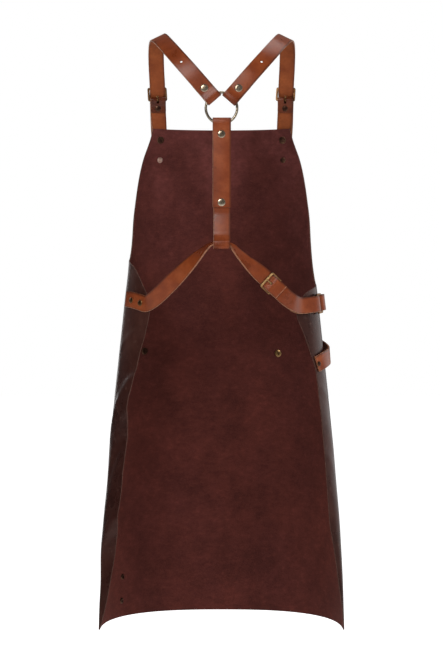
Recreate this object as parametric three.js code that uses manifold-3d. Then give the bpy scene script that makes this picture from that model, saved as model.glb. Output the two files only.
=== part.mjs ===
// A leather bib apron as worn, seen without its wearer.
// Millimetres. X points to the wearer's right, Y to the wearer's front and Z up.
// The origin is midway between the undersides of the two shoulder straps at their highest.
import * as THREE from 'three';
import { mergeVertices } from 'three/addons/utils/BufferGeometryUtils.js';
import Module from 'manifold-3d';

const wasm = await Module();
wasm.setup();

// Driving sizes.
const gap = 0.3;
const panelWall = 2;
const panelTop = -136;
const panelHem = -945;
const strapWall = 2.6;
const strapWidth = 25;
const backStrapWidth = 28;
const waistLoopWidth = 25.4;
const layer = strapWall + gap;
const ringWire = 4.2;
const ringRadius = 24.6;
const ringCentre = new THREE.Vector3(0, -104, -124);
const barSize = 3.2;
const frameLength = 23;
const strapClear = 0.4;
const frameWidth = strapWidth + 2 * strapClear + 2 * barSize;
const waistSideBar = 2;
const sideLoopLength = 17;
const barClear = 0.45;
const barOffset = barSize / 2 + barClear + strapWall / 2;
const barReach = Math.sqrt((frameLength - barSize) ** 2 - (2 * barOffset) ** 2);
const tongueWidth = 3;
const capHeight = 1.2;
const shankRadius = 2;
const shankHole = shankRadius + 2 * gap;
const beltHole = 2.1;
const holeSides = 6;
const beltHolePitch = 20;
const capOver = layer + capHeight + gap;

const rivetCap = { large: 6, medium: 4.7, small: 4 };

// The form that the panel hangs round. The widest point lies at sideY, the part behind it is
// backDepth deep, and a roundness below 1 makes the front flatter than an ellipse.
const bodySections = [
  { z: -130, halfWidth: 157, frontY: 86, sideY: -4, backDepth: 84, roundness: 0.9 },
  { z: -200, halfWidth: 157, frontY: 102, sideY: -2, backDepth: 84, roundness: 0.9 },
  { z: -270, halfWidth: 154.6, frontY: 108, sideY: 0, backDepth: 84, roundness: 0.88 },
  { z: -350, halfWidth: 151, frontY: 106, sideY: 2, backDepth: 84, roundness: 0.88 },
  { z: -430, halfWidth: 158.5, frontY: 104, sideY: 2, backDepth: 84, roundness: 0.88 },
  { z: -520, halfWidth: 167.5, frontY: 107, sideY: -4, backDepth: 84, roundness: 0.86 },
  { z: -600, halfWidth: 175.3, frontY: 110, sideY: -16, backDepth: 80, roundness: 0.84 },
  { z: -700, halfWidth: 183.2, frontY: 111, sideY: -36, backDepth: 66, roundness: 0.82 },
  { z: -800, halfWidth: 190.3, frontY: 110, sideY: -58, backDepth: 46, roundness: 0.8 },
  { z: -880, halfWidth: 193, frontY: 108.5, sideY: -75, backDepth: 30, roundness: 0.8 },
  { z: -945, halfWidth: 194, frontY: 108, sideY: -88, backDepth: 16, roundness: 0.8 },
];

// How far the two cut edges reach round the form: 1 is the widest point, more lies behind it.
const edgeReach = [
  { z: -136, left: 0.726, right: 0.726 },
  { z: -156, left: 0.761, right: 0.761 },
  { z: -190, left: 0.834, right: 0.834 },
  { z: -224, left: 0.882, right: 0.882 },
  { z: -258, left: 0.92, right: 0.92 },
  { z: -291, left: 0.951, right: 0.951 },
  { z: -325, left: 0.974, right: 0.972 },
  { z: -350, left: 0.993, right: 0.985 },
  { z: -358, left: 1, right: 0.988 },
  { z: -372, left: 1.073, right: 0.992 },
  { z: -398, left: 1.175, right: 1 },
  { z: -415, left: 1.235, right: 1.147 },
  { z: -432, left: 1.28, right: 1.205 },
  { z: -447, left: 1.276, right: 1.244 },
  { z: -477, left: 1.253, right: 1.19 },
  { z: -505, left: 1.216, right: 1.144 },
  { z: -540, left: 1.188, right: 1.1 },
  { z: -600, left: 1.147, right: 1.096 },
  { z: -700, left: 1.142, right: 1.086 },
  { z: -775, left: 1.137, right: 1.087 },
  { z: -820, left: 1.115, right: 1.063 },
  { z: -880, left: 1.079, right: 1.032 },
  { z: -920, left: 1.04, right: 1.008 },
  { z: -945, left: 1.006, right: 1.002 },
];

// Soft waves in the wrapped sides. Each runs down and forward from its place on the cut edge.
const sideFolds = [
  { side: -1, edgeZ: -575, fall: 95, breadth: 26, height: 4.5 },
  { side: -1, edgeZ: -645, fall: 95, breadth: 30, height: -3.5 },
  { side: -1, edgeZ: -765, fall: 75, breadth: 26, height: 4 },
  { side: -1, edgeZ: -830, fall: 60, breadth: 26, height: -3 },
  { side: 1, edgeZ: -610, fall: 80, breadth: 34, height: 1.5 },
  { side: 1, edgeZ: -760, fall: 70, breadth: 36, height: -0.8 },
];

// Heights of the panel's rows, closer together where the arm holes turn into the waist corners.
const rowBands = [
  { from: panelTop, to: -340, rows: 5 },
  { from: -340, to: -394, rows: 4 },
  { from: -394, to: -450, rows: 7 },
  { from: -450, to: -600, rows: 4 },
  { from: -600, to: panelHem, rows: 8 },
];
const halfColumns = 10;

const colours = {
  panelLeather: { color: 0x4a2622, roughness: 0.75, metalness: 0 },
  strapLeather: { color: 0x80472a, roughness: 0.5, metalness: 0 },
  brass: { color: 0x9c8350, roughness: 0.35, metalness: 1 },
};

// Smooth value of one column of a table of rows that are ordered by falling z.
function tableValue(rows, column, z) {
  const last = rows.length - 1;
  let i = rows.findIndex((row) => row.z <= z);
  if (i < 0) {
    i = last;
  }
  i = Math.max(1, i);
  const slope = (k) => (rows[k + 1][column] - rows[k][column]) / (rows[k + 1].z - rows[k].z);
  const tangent = (k) => {
    if (k === 0 || k === last) {
      return slope(k === 0 ? 0 : last - 1);
    }
    const before = slope(k - 1);
    const after = slope(k);
    return before * after <= 0 ? 0 : (2 * before * after) / (before + after);
  };
  const span = rows[i].z - rows[i - 1].z;
  const u = THREE.MathUtils.clamp((z - rows[i - 1].z) / span, 0, 1);
  const start = rows[i - 1][column] * (1 + 2 * u) * (1 - u) ** 2 + tangent(i - 1) * span * u * (1 - u) ** 2;
  const end = rows[i][column] * u * u * (3 - 2 * u) + tangent(i) * span * u * u * (u - 1);
  return start + end;
}

function smoothStep(from, to, value) {
  return THREE.MathUtils.smoothstep(value, from, to);
}

// Angle round the form for a reach: 0 at the front, a right angle at the widest point.
function reachAngle(reach, z) {
  if (reach <= 1) {
    return Math.asin(Math.max(0, reach) ** (1 / tableValue(bodySections, 'roundness', z)));
  }
  return Math.PI - Math.asin(2 - reach);
}

function edgeAngle(side, z) {
  return reachAngle(tableValue(edgeReach, side < 0 ? 'left' : 'right', z), z);
}

// Point on the bare form, without folds.
function formPoint(side, angle, z) {
  const halfWidth = tableValue(bodySections, 'halfWidth', z);
  const sideY = tableValue(bodySections, 'sideY', z);
  if (angle > Math.PI / 2) {
    const backDepth = tableValue(bodySections, 'backDepth', z);
    return new THREE.Vector3(side * halfWidth * Math.sin(angle), sideY + backDepth * Math.cos(angle), z);
  }
  const roundness = tableValue(bodySections, 'roundness', z);
  const frontDepth = tableValue(bodySections, 'frontY', z) - sideY;
  const x = side * halfWidth * Math.sin(angle) ** roundness;
  return new THREE.Vector3(x, sideY + frontDepth * Math.max(0, Math.cos(angle)) ** roundness, z);
}

// Direction away from the form. Near the front the chord across the middle keeps it steady.
function formNormal(side, angle, z) {
  const turn = 0.02;
  const ahead = formPoint(side, angle + turn, z);
  const behind = angle < turn ? formPoint(-side, turn - angle, z) : formPoint(side, angle - turn, z);
  const round = ahead.sub(behind);
  const rise = 3;
  const upward = formPoint(side, angle, z + rise).sub(formPoint(side, angle, z - rise));
  return upward.cross(round).multiplyScalar(side).normalize();
}

// How far the folds push the panel outwards.
function foldHeight(side, angle, z) {
  const behind = smoothStep(1.35, edgeAngle(side, z) + 0.05, angle);
  let height = 0;
  for (const fold of sideFolds) {
    if (fold.side === side) {
      const crest = fold.edgeZ - fold.fall * (1 - behind);
      height += fold.height * behind * Math.exp(-(((z - crest) / fold.breadth) ** 2));
    }
  }
  return height;
}

// Point on the panel's outer face, lifted off it by a distance, with the direction it faces.
function panelSeat(side, reach, z, lift) {
  return angleSeat(side, reachAngle(reach, z), z, lift);
}

function angleSeat(side, angle, z, lift) {
  const face = formNormal(side, angle, z);
  const point = formPoint(side, angle, z).addScaledVector(face, foldHeight(side, angle, z) + lift);
  return { point, face };
}

// Reach of the point on the front half that lies at a given x.
function frontReach(x, z) {
  return Math.abs(x) / tableValue(bodySections, 'halfWidth', z);
}

// Angles that divide a row, from the middle of the front to one cut edge, into parts that are
// shorter where the row bends more.
function evenAngles(side, z, parts) {
  const steps = 80;
  const bendWeight = 80;
  const edge = edgeAngle(side, z);
  const lengths = [0];
  for (let i = 1; i <= steps; i += 1) {
    const before = (edge * (i - 1)) / steps;
    const after = (edge * i) / steps;
    const length = formPoint(side, after, z).distanceTo(formPoint(side, before, z));
    const bend = formNormal(side, after, z).angleTo(formNormal(side, before, z));
    lengths.push(lengths[i - 1] + length + bendWeight * bend);
  }
  const angles = [];
  let at = 0;
  for (let part = 0; part <= parts; part += 1) {
    const wanted = (lengths[steps] * part) / parts;
    while (at < steps - 1 && lengths[at + 1] < wanted) {
      at += 1;
    }
    const share = (wanted - lengths[at]) / (lengths[at + 1] - lengths[at]);
    angles.push((edge * (at + share)) / steps);
  }
  return angles;
}

// Turns a closed geometry into a solid for cutting.
function toSolid(geometry) {
  geometry.deleteAttribute('normal');
  geometry.deleteAttribute('uv');
  const merged = mergeVertices(geometry, 1e-4);
  const mesh = new wasm.Mesh({
    numProp: 3,
    vertProperties: new Float32Array(merged.attributes.position.array),
    triVerts: new Uint32Array(merged.index.array),
  });
  return new wasm.Manifold(mesh);
}

function fromSolid(solid) {
  const mesh = solid.getMesh();
  const geometry = new THREE.BufferGeometry();
  geometry.setAttribute('position', new THREE.BufferAttribute(new Float32Array(mesh.vertProperties), 3));
  geometry.setIndex(new THREE.BufferAttribute(new Uint32Array(mesh.triVerts), 1));
  return geometry;
}

// Solid from points and triangles, turned the right way out.
function pointSolid(points, triangles) {
  let volume = 0;
  for (const [a, b, c] of triangles) {
    volume += points[a].dot(points[b].clone().cross(points[c]));
  }
  const outward = volume < 0 ? triangles.map(([a, b, c]) => [a, c, b]) : triangles;
  const geometry = new THREE.BufferGeometry().setFromPoints(points);
  geometry.setIndex(outward.flat());
  return toSolid(geometry);
}

function cutAll(solid, cutters) {
  return cutters.reduce((left, cutter) => left.subtract(cutter), solid);
}

// Places a geometry whose X, Y and Z become the three given directions.
function placed(geometry, across, along, face, point) {
  const matrix = new THREE.Matrix4().makeBasis(across, along, face);
  matrix.setPosition(point);
  return geometry.applyMatrix4(matrix);
}

// Any two directions that stand square on the given one.
function squareTo(face) {
  const guess = Math.abs(face.z) < 0.9 ? new THREE.Vector3(0, 0, 1) : new THREE.Vector3(1, 0, 0);
  const across = guess.cross(face).normalize();
  const along = face.clone().cross(across);
  return { across, along };
}

function pinHole(point, face, radius, depth) {
  const { across, along } = squareTo(face);
  const pin = new THREE.CylinderGeometry(radius, radius, depth, holeSides).rotateX(Math.PI / 2);
  return toSolid(placed(pin, across, along, face, point));
}

// Holes for a rivet's shank. The panel's has a shallow flat seat under the inner cap, and the
// strap's one under the outer cap.
function rivetHoles(point, face, grip, capRadius) {
  const seatDepth = 3;
  const seatRadius = (capRadius + gap) / Math.cos(Math.PI / holeSides);
  const shank = pinHole(point, face, shankHole, grip + seatDepth);
  const [strapHole, panelHole] = [1, -1].map((way) => {
    const middle = point.clone().addScaledVector(face, (way * (grip + seatDepth)) / 2);
    return shank.add(pinHole(middle, face, seatRadius, seatDepth));
  });
  return { shank, strapHole, panelHole };
}

// The panel: an outer and an inner skin joined round the rim.
function makePanel() {
  const heights = [panelTop];
  for (const band of rowBands) {
    for (let row = 1; row <= band.rows; row += 1) {
      heights.push(THREE.MathUtils.lerp(band.from, band.to, row / band.rows));
    }
  }
  const columns = 2 * halfColumns + 1;
  const points = [];
  for (const lift of [0, -panelWall]) {
    for (const z of heights) {
      const angles = new Map([-1, 1].map((side) => [side, evenAngles(side, z, halfColumns)]));
      for (let column = 0; column < columns; column += 1) {
        const side = column < halfColumns ? -1 : 1;
        const angle = angles.get(side)[Math.abs(column - halfColumns)];
        points.push(angleSeat(side, angle, z, lift).point);
      }
    }
  }
  const skin = heights.length * columns;
  const at = (row, column) => row * columns + column;
  const triangles = [];
  const quad = (a, b, c, d) => triangles.push([a, b, c], [a, c, d]);
  for (let row = 0; row < heights.length - 1; row += 1) {
    for (let column = 0; column < columns - 1; column += 1) {
      const corners = [at(row, column), at(row, column + 1), at(row + 1, column + 1), at(row + 1, column)];
      quad(...corners);
      quad(...corners.reverse().map((corner) => corner + skin));
    }
    for (const column of [0, columns - 1]) {
      const outer = [at(row, column), at(row + 1, column)];
      const rim = [...outer, outer[1] + skin, outer[0] + skin];
      quad(...(column === 0 ? rim : rim.reverse()));
    }
  }
  for (let column = 0; column < columns - 1; column += 1) {
    for (const row of [0, heights.length - 1]) {
      const outer = [at(row, column), at(row, column + 1)];
      const rim = [outer[0], outer[0] + skin, outer[1] + skin, outer[1]];
      quad(...(row === 0 ? rim : rim.reverse()));
    }
  }
  return pointSolid(points, triangles);
}

// A strap's line through named rows, each with the direction that its outer face looks.
function makePath(rows) {
  const curve = new THREE.CatmullRomCurve3(rows.map((row) => row.point), false, 'centripetal');
  const perRow = 16;
  const last = (rows.length - 1) * perRow;
  const samples = [];
  const marks = {};
  let length = 0;
  for (let i = 0; i <= last; i += 1) {
    const point = curve.getPoint(i / last);
    const row = Math.min(rows.length - 2, Math.floor(i / perRow));
    const face = rows[row].face.clone().lerp(rows[row + 1].face, i / perRow - row);
    length += i > 0 ? point.distanceTo(samples[i - 1].point) : 0;
    samples.push({ point, face, length, tangent: curve.getTangent(i / last) });
    if (i % perRow === 0) {
      marks[rows[i / perRow].name] = length;
    }
  }
  const at = (s) => {
    let i = samples.findIndex((sample) => sample.length > s) - 1;
    if (i < 0) {
      i = s <= 0 ? 0 : last - 1;
    }
    const share = (s - samples[i].length) / (samples[i + 1].length - samples[i].length);
    const inside = THREE.MathUtils.clamp(share, 0, 1);
    const along = samples[i].tangent.clone().lerp(samples[i + 1].tangent, inside).normalize();
    const face = samples[i].face.clone().lerp(samples[i + 1].face, inside);
    face.addScaledVector(along, -face.dot(along)).normalize();
    const point = samples[i].point.clone().lerp(samples[i + 1].point, share);
    return { point, along, face, across: along.clone().cross(face) };
  };
  // The point n millimetres off the line at s, towards its outer face.
  const off = (s, n) => {
    const frame = at(s);
    return frame.point.addScaledVector(frame.face, n);
  };
  const near = (x, z) => {
    const away = (sample) => Math.hypot(sample.point.x - x, sample.point.z - z);
    return samples.reduce((best, sample) => (away(sample) < away(best) ? sample : best)).length;
  };
  return { at, off, near, marks, length };
}

// Half a turn of a strap round a bar, as places [s, n] along and off its line.
function halfTurn(s, n, radius, towards, startSide) {
  const steps = 8;
  const places = [];
  for (let i = 0; i <= steps; i += 1) {
    const turn = (Math.PI * i) / steps;
    places.push([s + towards * radius * Math.sin(turn), n + startSide * radius * Math.cos(turn)]);
  }
  return places;
}

// Line through corners that are rounded with their own bend radii.
function bentLine(corners) {
  const points = corners.map(({ s, n }) => new THREE.Vector2(s, n));
  const line = [points[0].toArray()];
  for (let i = 1; i < points.length - 1; i += 1) {
    const back = points[i - 1].clone().sub(points[i]).normalize();
    const ahead = points[i + 1].clone().sub(points[i]).normalize();
    const half = Math.acos(THREE.MathUtils.clamp(back.dot(ahead), -1, 1)) / 2;
    const { bend } = corners[i];
    const centre = back.clone().add(ahead).normalize().multiplyScalar(bend / Math.sin(half)).add(points[i]);
    const from = points[i].clone().addScaledVector(back, bend / Math.tan(half)).sub(centre);
    const turn = (Math.PI - 2 * half) * Math.sign(back.cross(ahead)) * -1;
    const steps = Math.max(2, Math.ceil(Math.abs(turn) / 0.4));
    for (let step = 0; step <= steps; step += 1) {
      const arm = from.clone().rotateAround(new THREE.Vector2(), (turn * step) / steps);
      line.push(arm.add(centre).toArray());
    }
  }
  line.push(points[points.length - 1].toArray());
  return line;
}

// Distances from a strap's end at which its rounded corner is stepped.
function cornerSteps(corner) {
  return [0, 1, 2, 3, 4].map((step) => corner * (1 - Math.cos((step * Math.PI) / 8)));
}

// Leaves out the sections that a straight run between their neighbours gives closely enough.
function thinned(sections) {
  const allowed = 0.2;
  const kept = [sections[0]];
  let from = 0;
  for (let to = 2; to < sections.length; to += 1) {
    const [start, end] = [sections[from], sections[to]];
    const strays = sections.slice(from + 1, to).some((section) => {
      const share = (section.d - start.d) / (end.d - start.d);
      return section.corners.some((corner, k) => (
        start.corners[k].clone().lerp(end.corners[k], share).distanceTo(corner) > allowed
      ));
    });
    if (strays) {
      from = to - 1;
      kept.push(sections[from]);
    }
  }
  kept.push(sections[sections.length - 1]);
  return kept;
}

// A strap of rectangular section laid along places [s, n] of a path.
// Its two ends are rounded with the corner radii given.
function makeStrap(path, places, width, corners) {
  const longest = 11;
  const line = [places[0]];
  for (let i = 1; i < places.length; i += 1) {
    const [s0, n0] = places[i - 1];
    const [s1, n1] = places[i];
    const parts = Math.max(1, Math.ceil(Math.hypot(s1 - s0, n1 - n0) / longest));
    for (let part = 1; part <= parts; part += 1) {
      line.push([s0 + ((s1 - s0) * part) / parts, n0 + ((n1 - n0) * part) / parts]);
    }
  }
  const lengths = [0];
  for (let i = 1; i < line.length; i += 1) {
    lengths.push(lengths[i - 1] + Math.hypot(line[i][0] - line[i - 1][0], line[i][1] - line[i - 1][1]));
  }
  const total = lengths[lengths.length - 1];
  const [startCorner, endCorner] = corners;
  const plain = lengths.filter((d) => d > startCorner + 0.5 && d < total - endCorner - 0.5);
  const tips = [...cornerSteps(startCorner), ...cornerSteps(endCorner).map((d) => total - d)];
  const stations = [...new Set([...plain, ...tips].map((d) => Math.round(d * 1e4) / 1e4))];
  stations.sort((a, b) => a - b);
  const placeAt = (d) => {
    let i = lengths.findIndex((length) => length >= d);
    i = Math.max(1, i < 0 ? line.length - 1 : i);
    const share = (d - lengths[i - 1]) / (lengths[i] - lengths[i - 1]);
    return [0, 1].map((k) => line[i - 1][k] + (line[i][k] - line[i - 1][k]) * share);
  };
  const halfWidth = (d) => {
    const cut = (corner, from) => {
      const inside = THREE.MathUtils.clamp(corner - from, 0, corner);
      return corner - Math.sqrt(corner ** 2 - inside ** 2);
    };
    return width / 2 - 0.96 * (cut(startCorner, d) + cut(endCorner, total - d));
  };
  const sections = stations.map((d) => {
    const [s, n] = placeAt(d);
    const reach = 0.6;
    const [s0, n0] = placeAt(Math.max(0, d - reach));
    const [s1, n1] = placeAt(Math.min(total, d + reach));
    const run = Math.hypot(s1 - s0, n1 - n0);
    const side = [-(n1 - n0) / run, (s1 - s0) / run];
    const corner = ([face, edge]) => {
      const half = (face * strapWall) / 2;
      const point = path.off(s + side[0] * half, n + side[1] * half);
      return point.addScaledVector(path.at(s).across, edge * halfWidth(d));
    };
    return { d, corners: [[1, 1], [1, -1], [-1, -1], [-1, 1]].map(corner) };
  });
  const kept = thinned(sections);
  const points = kept.flatMap((section) => section.corners);
  const triangles = [];
  const quad = (a, b, c, d) => triangles.push([a, b, c], [a, c, d]);
  for (let station = 0; station < kept.length - 1; station += 1) {
    for (let side = 0; side < 4; side += 1) {
      const a = 4 * station + side;
      const b = 4 * station + ((side + 1) % 4);
      // Opposite faces are split the same way, so a twisted strap keeps its thickness.
      if (side < 2) {
        quad(a, b, b + 4, a + 4);
      } else {
        quad(b, b + 4, a + 4, a);
      }
    }
  }
  const end = 4 * (kept.length - 1);
  quad(3, 2, 1, 0);
  quad(end, end + 1, end + 2, end + 3);
  return pointSolid(points, triangles);
}

// One rivet: two domed caps and the shank between them. Its grip is the leather it holds.
function makeRivet(point, face, grip, capRadius) {
  const half = grip / 2 + gap;
  const dome = [[capRadius, half], [0.72 * capRadius, half + 0.75 * capHeight], [0, half + capHeight]];
  const upper = [[shankRadius, half], ...dome];
  const lower = upper.map(([radius, y]) => [radius, -y]).reverse();
  const outline = [...lower, ...upper].map(([radius, y]) => new THREE.Vector2(radius, y));
  const { across, along } = squareTo(face);
  const turned = new THREE.LatheGeometry(outline, 8).rotateX(Math.PI / 2);
  return toSolid(placed(turned, across, along, face, point));
}

// Outline of a rectangle with round corners, centred on the origin.
function roundRectangle(target, width, length, corner) {
  const x = width / 2;
  const y = length / 2;
  target.moveTo(-x + corner, -y);
  target.lineTo(x - corner, -y);
  target.absarc(x - corner, -y + corner, corner, -Math.PI / 2, 0, false);
  target.lineTo(x, y - corner);
  target.absarc(x - corner, y - corner, corner, 0, Math.PI / 2, false);
  target.lineTo(-x + corner, y);
  target.absarc(-x + corner, y - corner, corner, Math.PI / 2, Math.PI, false);
  target.lineTo(-x, -y + corner);
  target.absarc(-x + corner, -y + corner, corner, Math.PI, 1.5 * Math.PI, false);
  return target;
}

// A rectangular metal frame of round-edged bar, with side bars of their own width.
function frameGeometry(width, length, sideBar) {
  const bevel = 0.85;
  const shape = roundRectangle(new THREE.Shape(), width - 2 * bevel, length - 2 * bevel, 2.2);
  const inner = [width - 2 * sideBar + 2 * bevel, length - 2 * barSize + 2 * bevel];
  shape.holes.push(roundRectangle(new THREE.Path(), ...inner, 1.6));
  const depth = barSize - 2 * bevel;
  const settings = { depth, bevelEnabled: true, bevelThickness: bevel, bevelSize: bevel };
  const geometry = new THREE.ExtrudeGeometry(shape, { ...settings, bevelSegments: 1, curveSegments: 1 });
  return geometry.translate(0, 0, -depth / 2);
}

// A buckle on a strap's path. The strap that holds it folds round the heel bar at s, and the
// other strap comes in under the front bar, which lies towards the given direction.
function makeBuckle(path, s, towards, sideBar) {
  const heel = path.off(s, -barOffset);
  const front = path.off(s + towards * barReach, barOffset);
  const along = front.clone().sub(heel).normalize();
  const across = path.at(s + (towards * barReach) / 2).across;
  across.addScaledVector(along, -across.dot(along)).normalize();
  const face = across.clone().cross(along);
  if (face.dot(path.at(s).face) < 0) {
    face.negate();
    across.negate();
  }
  const middle = heel.clone().add(front).multiplyScalar(0.5);
  const bars = frameGeometry(strapWidth + 2 * (strapClear + sideBar), frameLength, sideBar);
  const frame = toSolid(placed(bars, across, along, face, middle));
  // The tongue's side view: an eye round the heel bar and a bar that lies on the front bar.
  const eyeInside = barSize / 2 + gap;
  const eyeOutside = eyeInside + 1.5;
  const reach = frameLength - barSize;
  const rest = barSize / 2 + gap;
  const bladeShape = (grow) => {
    const top = rest + 1.9 + grow;
    const outline = [
      [0, eyeInside + 0.05 - grow],
      [reach, rest - grow],
      [reach + 2.6 + grow, rest - 0.4 - grow],
      [reach + 2.6 + grow, top - 0.6],
      [reach, top],
      [0, eyeOutside + grow],
    ];
    return new THREE.Shape(outline.map(([x, y]) => new THREE.Vector2(x, y)));
  };
  const eye = new THREE.Shape().absarc(0, 0, eyeOutside, 0, 2 * Math.PI, false);
  eye.holes.push(new THREE.Path().absarc(0, 0, eyeInside, 0, 2 * Math.PI, true));
  const sideView = (shape, width) => {
    const settings = { depth: width, bevelEnabled: false, curveSegments: 6 };
    const geometry = new THREE.ExtrudeGeometry(shape, settings).translate(0, 0, -width / 2);
    return toSolid(placed(geometry, along, face, along.clone().cross(face), heel));
  };
  const tongue = sideView(eye, tongueWidth).add(sideView(bladeShape(0), tongueWidth));
  const strapSlot = sideView(bladeShape(gap + 0.05), tongueWidth + 2 * gap);
  const slotCorners = [[-6.5, -6.5], [6.5, -6.5], [6.5, 6.5], [-6.5, 6.5]];
  const slotShape = new THREE.Shape(slotCorners.map(([x, y]) => new THREE.Vector2(x, y)));
  const foldSlot = sideView(slotShape, tongueWidth + 1);
  return { frame, tongue, strapSlot, foldSlot };
}

// Line of a strap that is folded round a bar on its inner side and turns back under itself.
// The outer layer has n = 0 and ends at the bar, which lies at s in the given direction.
function foldedEnd(s, towards, joinAt, endAt) {
  const turn = halfTurn(s, -barOffset, barOffset, towards, 1);
  return [
    ...turn,
    [s - towards * 2, -2 * barOffset],
    [s - towards * joinAt, -layer],
    [s - towards * endAt, -layer],
  ];
}

// Line of a strap's end looped through the ring, from the inner tip out to the outer layer.
function ringEnd(width, innerEnd) {
  const clear = ringWire / 2 + gap;
  const edgeAcross = width / 2;
  const edgeWire = Math.sqrt(ringRadius ** 2 - edgeAcross ** 2);
  const wireReach = ((ringWire / 2) * ringRadius) / edgeWire;
  const fold = edgeWire - wireReach - gap + clear;
  const radius = clear + strapWall / 2;
  const half = layer / 2;
  return [
    [innerEnd, -half],
    [34, -half],
    [25.5, -radius],
    ...halfTurn(fold, 0, radius, -1, -1),
    [25.5, radius],
    [34, half],
  ];
}

const solids = {};
const panelCuts = [];

// Adds a rivet that grips the leather between two heights over a place, and gives its holes.
function addRivet(name, place, low, high, capRadius) {
  const middle = place.point.clone().addScaledVector(place.face, (low + high) / 2);
  solids[name] = { solid: makeRivet(middle, place.face, high - low, capRadius), look: 'brass' };
  return rivetHoles(middle, place.face, high - low, capRadius);
}

function vector(x, y, z) {
  return new THREE.Vector3(x, y, z);
}

function row(name, x, y, z, face) {
  return { name, point: vector(x, y, z), face: vector(...face).normalize() };
}

// Rows that follow the panel through the given places.
function seatedRows(side, lift, places) {
  return places.map(({ name, reach, z }) => ({ name, ...panelSeat(side, reach, z, lift) }));
}

// Rows on a straight stretch, at distances before and after a point.
function straightRows(point, along, face, places) {
  const step = along.clone().normalize();
  return places.map(({ name, at }) => ({ name, point: point.clone().addScaledVector(step, at), face }));
}

// Shoulder straps, chest tabs and chest buckles, one set for each side.
const tabLift = gap + strapWall / 2;
const underPanel = -tabLift - panelWall;
const chestRivets = [
  { name: 'upper', x: 102, z: -154, cap: rivetCap.large },
  { name: 'lower', x: 104.5, z: -187, cap: rivetCap.medium },
];
const bibPlaces = [
  { name: 'tip', x: 104, z: -236 },
  { name: 'aboveTip', x: 104, z: -220 },
  { name: 'tabLow', x: 104, z: -204 },
  { name: 'lowRivet', x: 104, z: -187 },
  { name: 'tabMiddle', x: 103.3, z: -170 },
  { name: 'highRivet', x: 103, z: -154 },
  { name: 'bibTop', x: 103.7, z: -139 },
];
const buckleRows = [
  { name: 'tabEnd', at: -24 },
  { name: 'belowHeel', at: -9 },
  { name: 'heel', at: 0 },
  { name: 'bars', at: 10 },
  { name: 'front', at: 20 },
  { name: 'aboveFront', at: 28 },
];
for (const [side, word] of [[-1, 'left'], [1, 'right']]) {
  const onBib = bibPlaces.map(({ name, x, z }) => ({ name, reach: frontReach(x, z), z }));
  const buckleSeat = vector(side * 106.8, 66.5, -88);
  const buckleAlong = vector(side * 0.03, -0.13, 0.99);
  const buckleFace = vector(side * 0.12, 0.985, 0.125);
  const path = makePath([
    ...seatedRows(side, tabLift, onBib),
    ...straightRows(buckleSeat, buckleAlong, buckleFace, buckleRows),
    row('frontShoulder', side * 108.6, 55, -37, [0, 0.9, 0.42]),
    row('crestFront', side * 108.4, 32, -10, [side * 0.3, 0.55, 0.78]),
    row('crest', side * 106, 0, 1.4, [side * 0.45, 0.04, 0.88]),
    row('crestBack', side * 100.5, -34, -2.5, [side * 0.4, -0.3, 0.86]),
    row('rearShoulder', side * 90, -66, -17, [side * 0.26, -0.68, 0.68]),
    row('blade', side * 73, -90, -39, [side * 0.08, -0.93, 0.35]),
    row('upperBack', side * 52, -102, -64, [0, -1, 0.1]),
    row('lowerBack', side * 27, -104, -92.8, [0, -1, 0]),
    row('ring', ringCentre.x, ringCentre.y, ringCentre.z, [0, -1, 0]),
  ]);
  const { marks } = path;
  const buckle = makeBuckle(path, marks.heel, 1, barSize);
  const frontBar = marks.heel + barReach;

  const tabPlaces = [[marks.tabLow, 0], ...foldedEnd(marks.heel, 1, 9, 21)];
  const tabRivet = path.at(marks.heel - 14);
  const tabRivetHoles = addRivet(
    `chest_tab_rivet_${word}`,
    tabRivet,
    -layer - strapWall / 2,
    strapWall / 2,
    rivetCap.medium,
  );
  const tabCuts = [buckle.foldSlot, tabRivetHoles.shank];
  for (const rivet of chestRivets) {
    const place = path.at(path.near(side * rivet.x, rivet.z));
    const holes = addRivet(`bib_rivet_${rivet.name}_${word}`, place, underPanel, strapWall / 2, rivet.cap);
    tabCuts.push(holes.shank);
    panelCuts.push(holes.panelHole);
  }
  const tab = cutAll(makeStrap(path, tabPlaces, strapWidth, [strapWidth / 2, 3]), tabCuts);
  solids[`chest_tab_${word}`] = { solid: tab, look: 'strapLeather' };
  solids[`chest_buckle_frame_${word}`] = { solid: buckle.frame, look: 'brass' };
  solids[`chest_buckle_tongue_${word}`] = { solid: buckle.tongue, look: 'brass' };

  // The strap runs from its free end on the bib, through the buckle and over the shoulder.
  const end = path.length;
  const fromRing = ringEnd(strapWidth, 57).map(([s, n]) => [end - s, n]).reverse();
  const strapPlaces = [
    [marks.tip, capOver + 0.3],
    [marks.heel - 9, capOver + 0.3],
    [marks.heel + 3, layer + 0.5],
    [frontBar - 4, -0.2],
    [frontBar + 6, -0.2],
    [end - 70, layer / 2],
    ...fromRing,
  ];
  const ringRivet = path.at(end - 41);
  const doubled = layer / 2 + strapWall / 2;
  const ringRivetHoles = addRivet(`shoulder_rivet_${word}`, ringRivet, -doubled, doubled, rivetCap.large);
  const strapCuts = [buckle.strapSlot, ringRivetHoles.shank];
  const seeThrough = path.near(side * 63, -51);
  strapCuts.push(pinHole(path.at(seeThrough).point, path.at(seeThrough).face, beltHole, 12));
  for (let hole = 0; hole < 4; hole += 1) {
    const s = marks.tip + 22 + hole * beltHolePitch;
    strapCuts.push(pinHole(path.off(s, capOver + 0.3), path.at(s).face, beltHole, strapWall + 1));
  }
  const strap = cutAll(makeStrap(path, strapPlaces, strapWidth, [strapWidth / 2, 3]), strapCuts);
  solids[`shoulder_strap_${word}`] = { solid: strap, look: 'strapLeather' };
}

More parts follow.
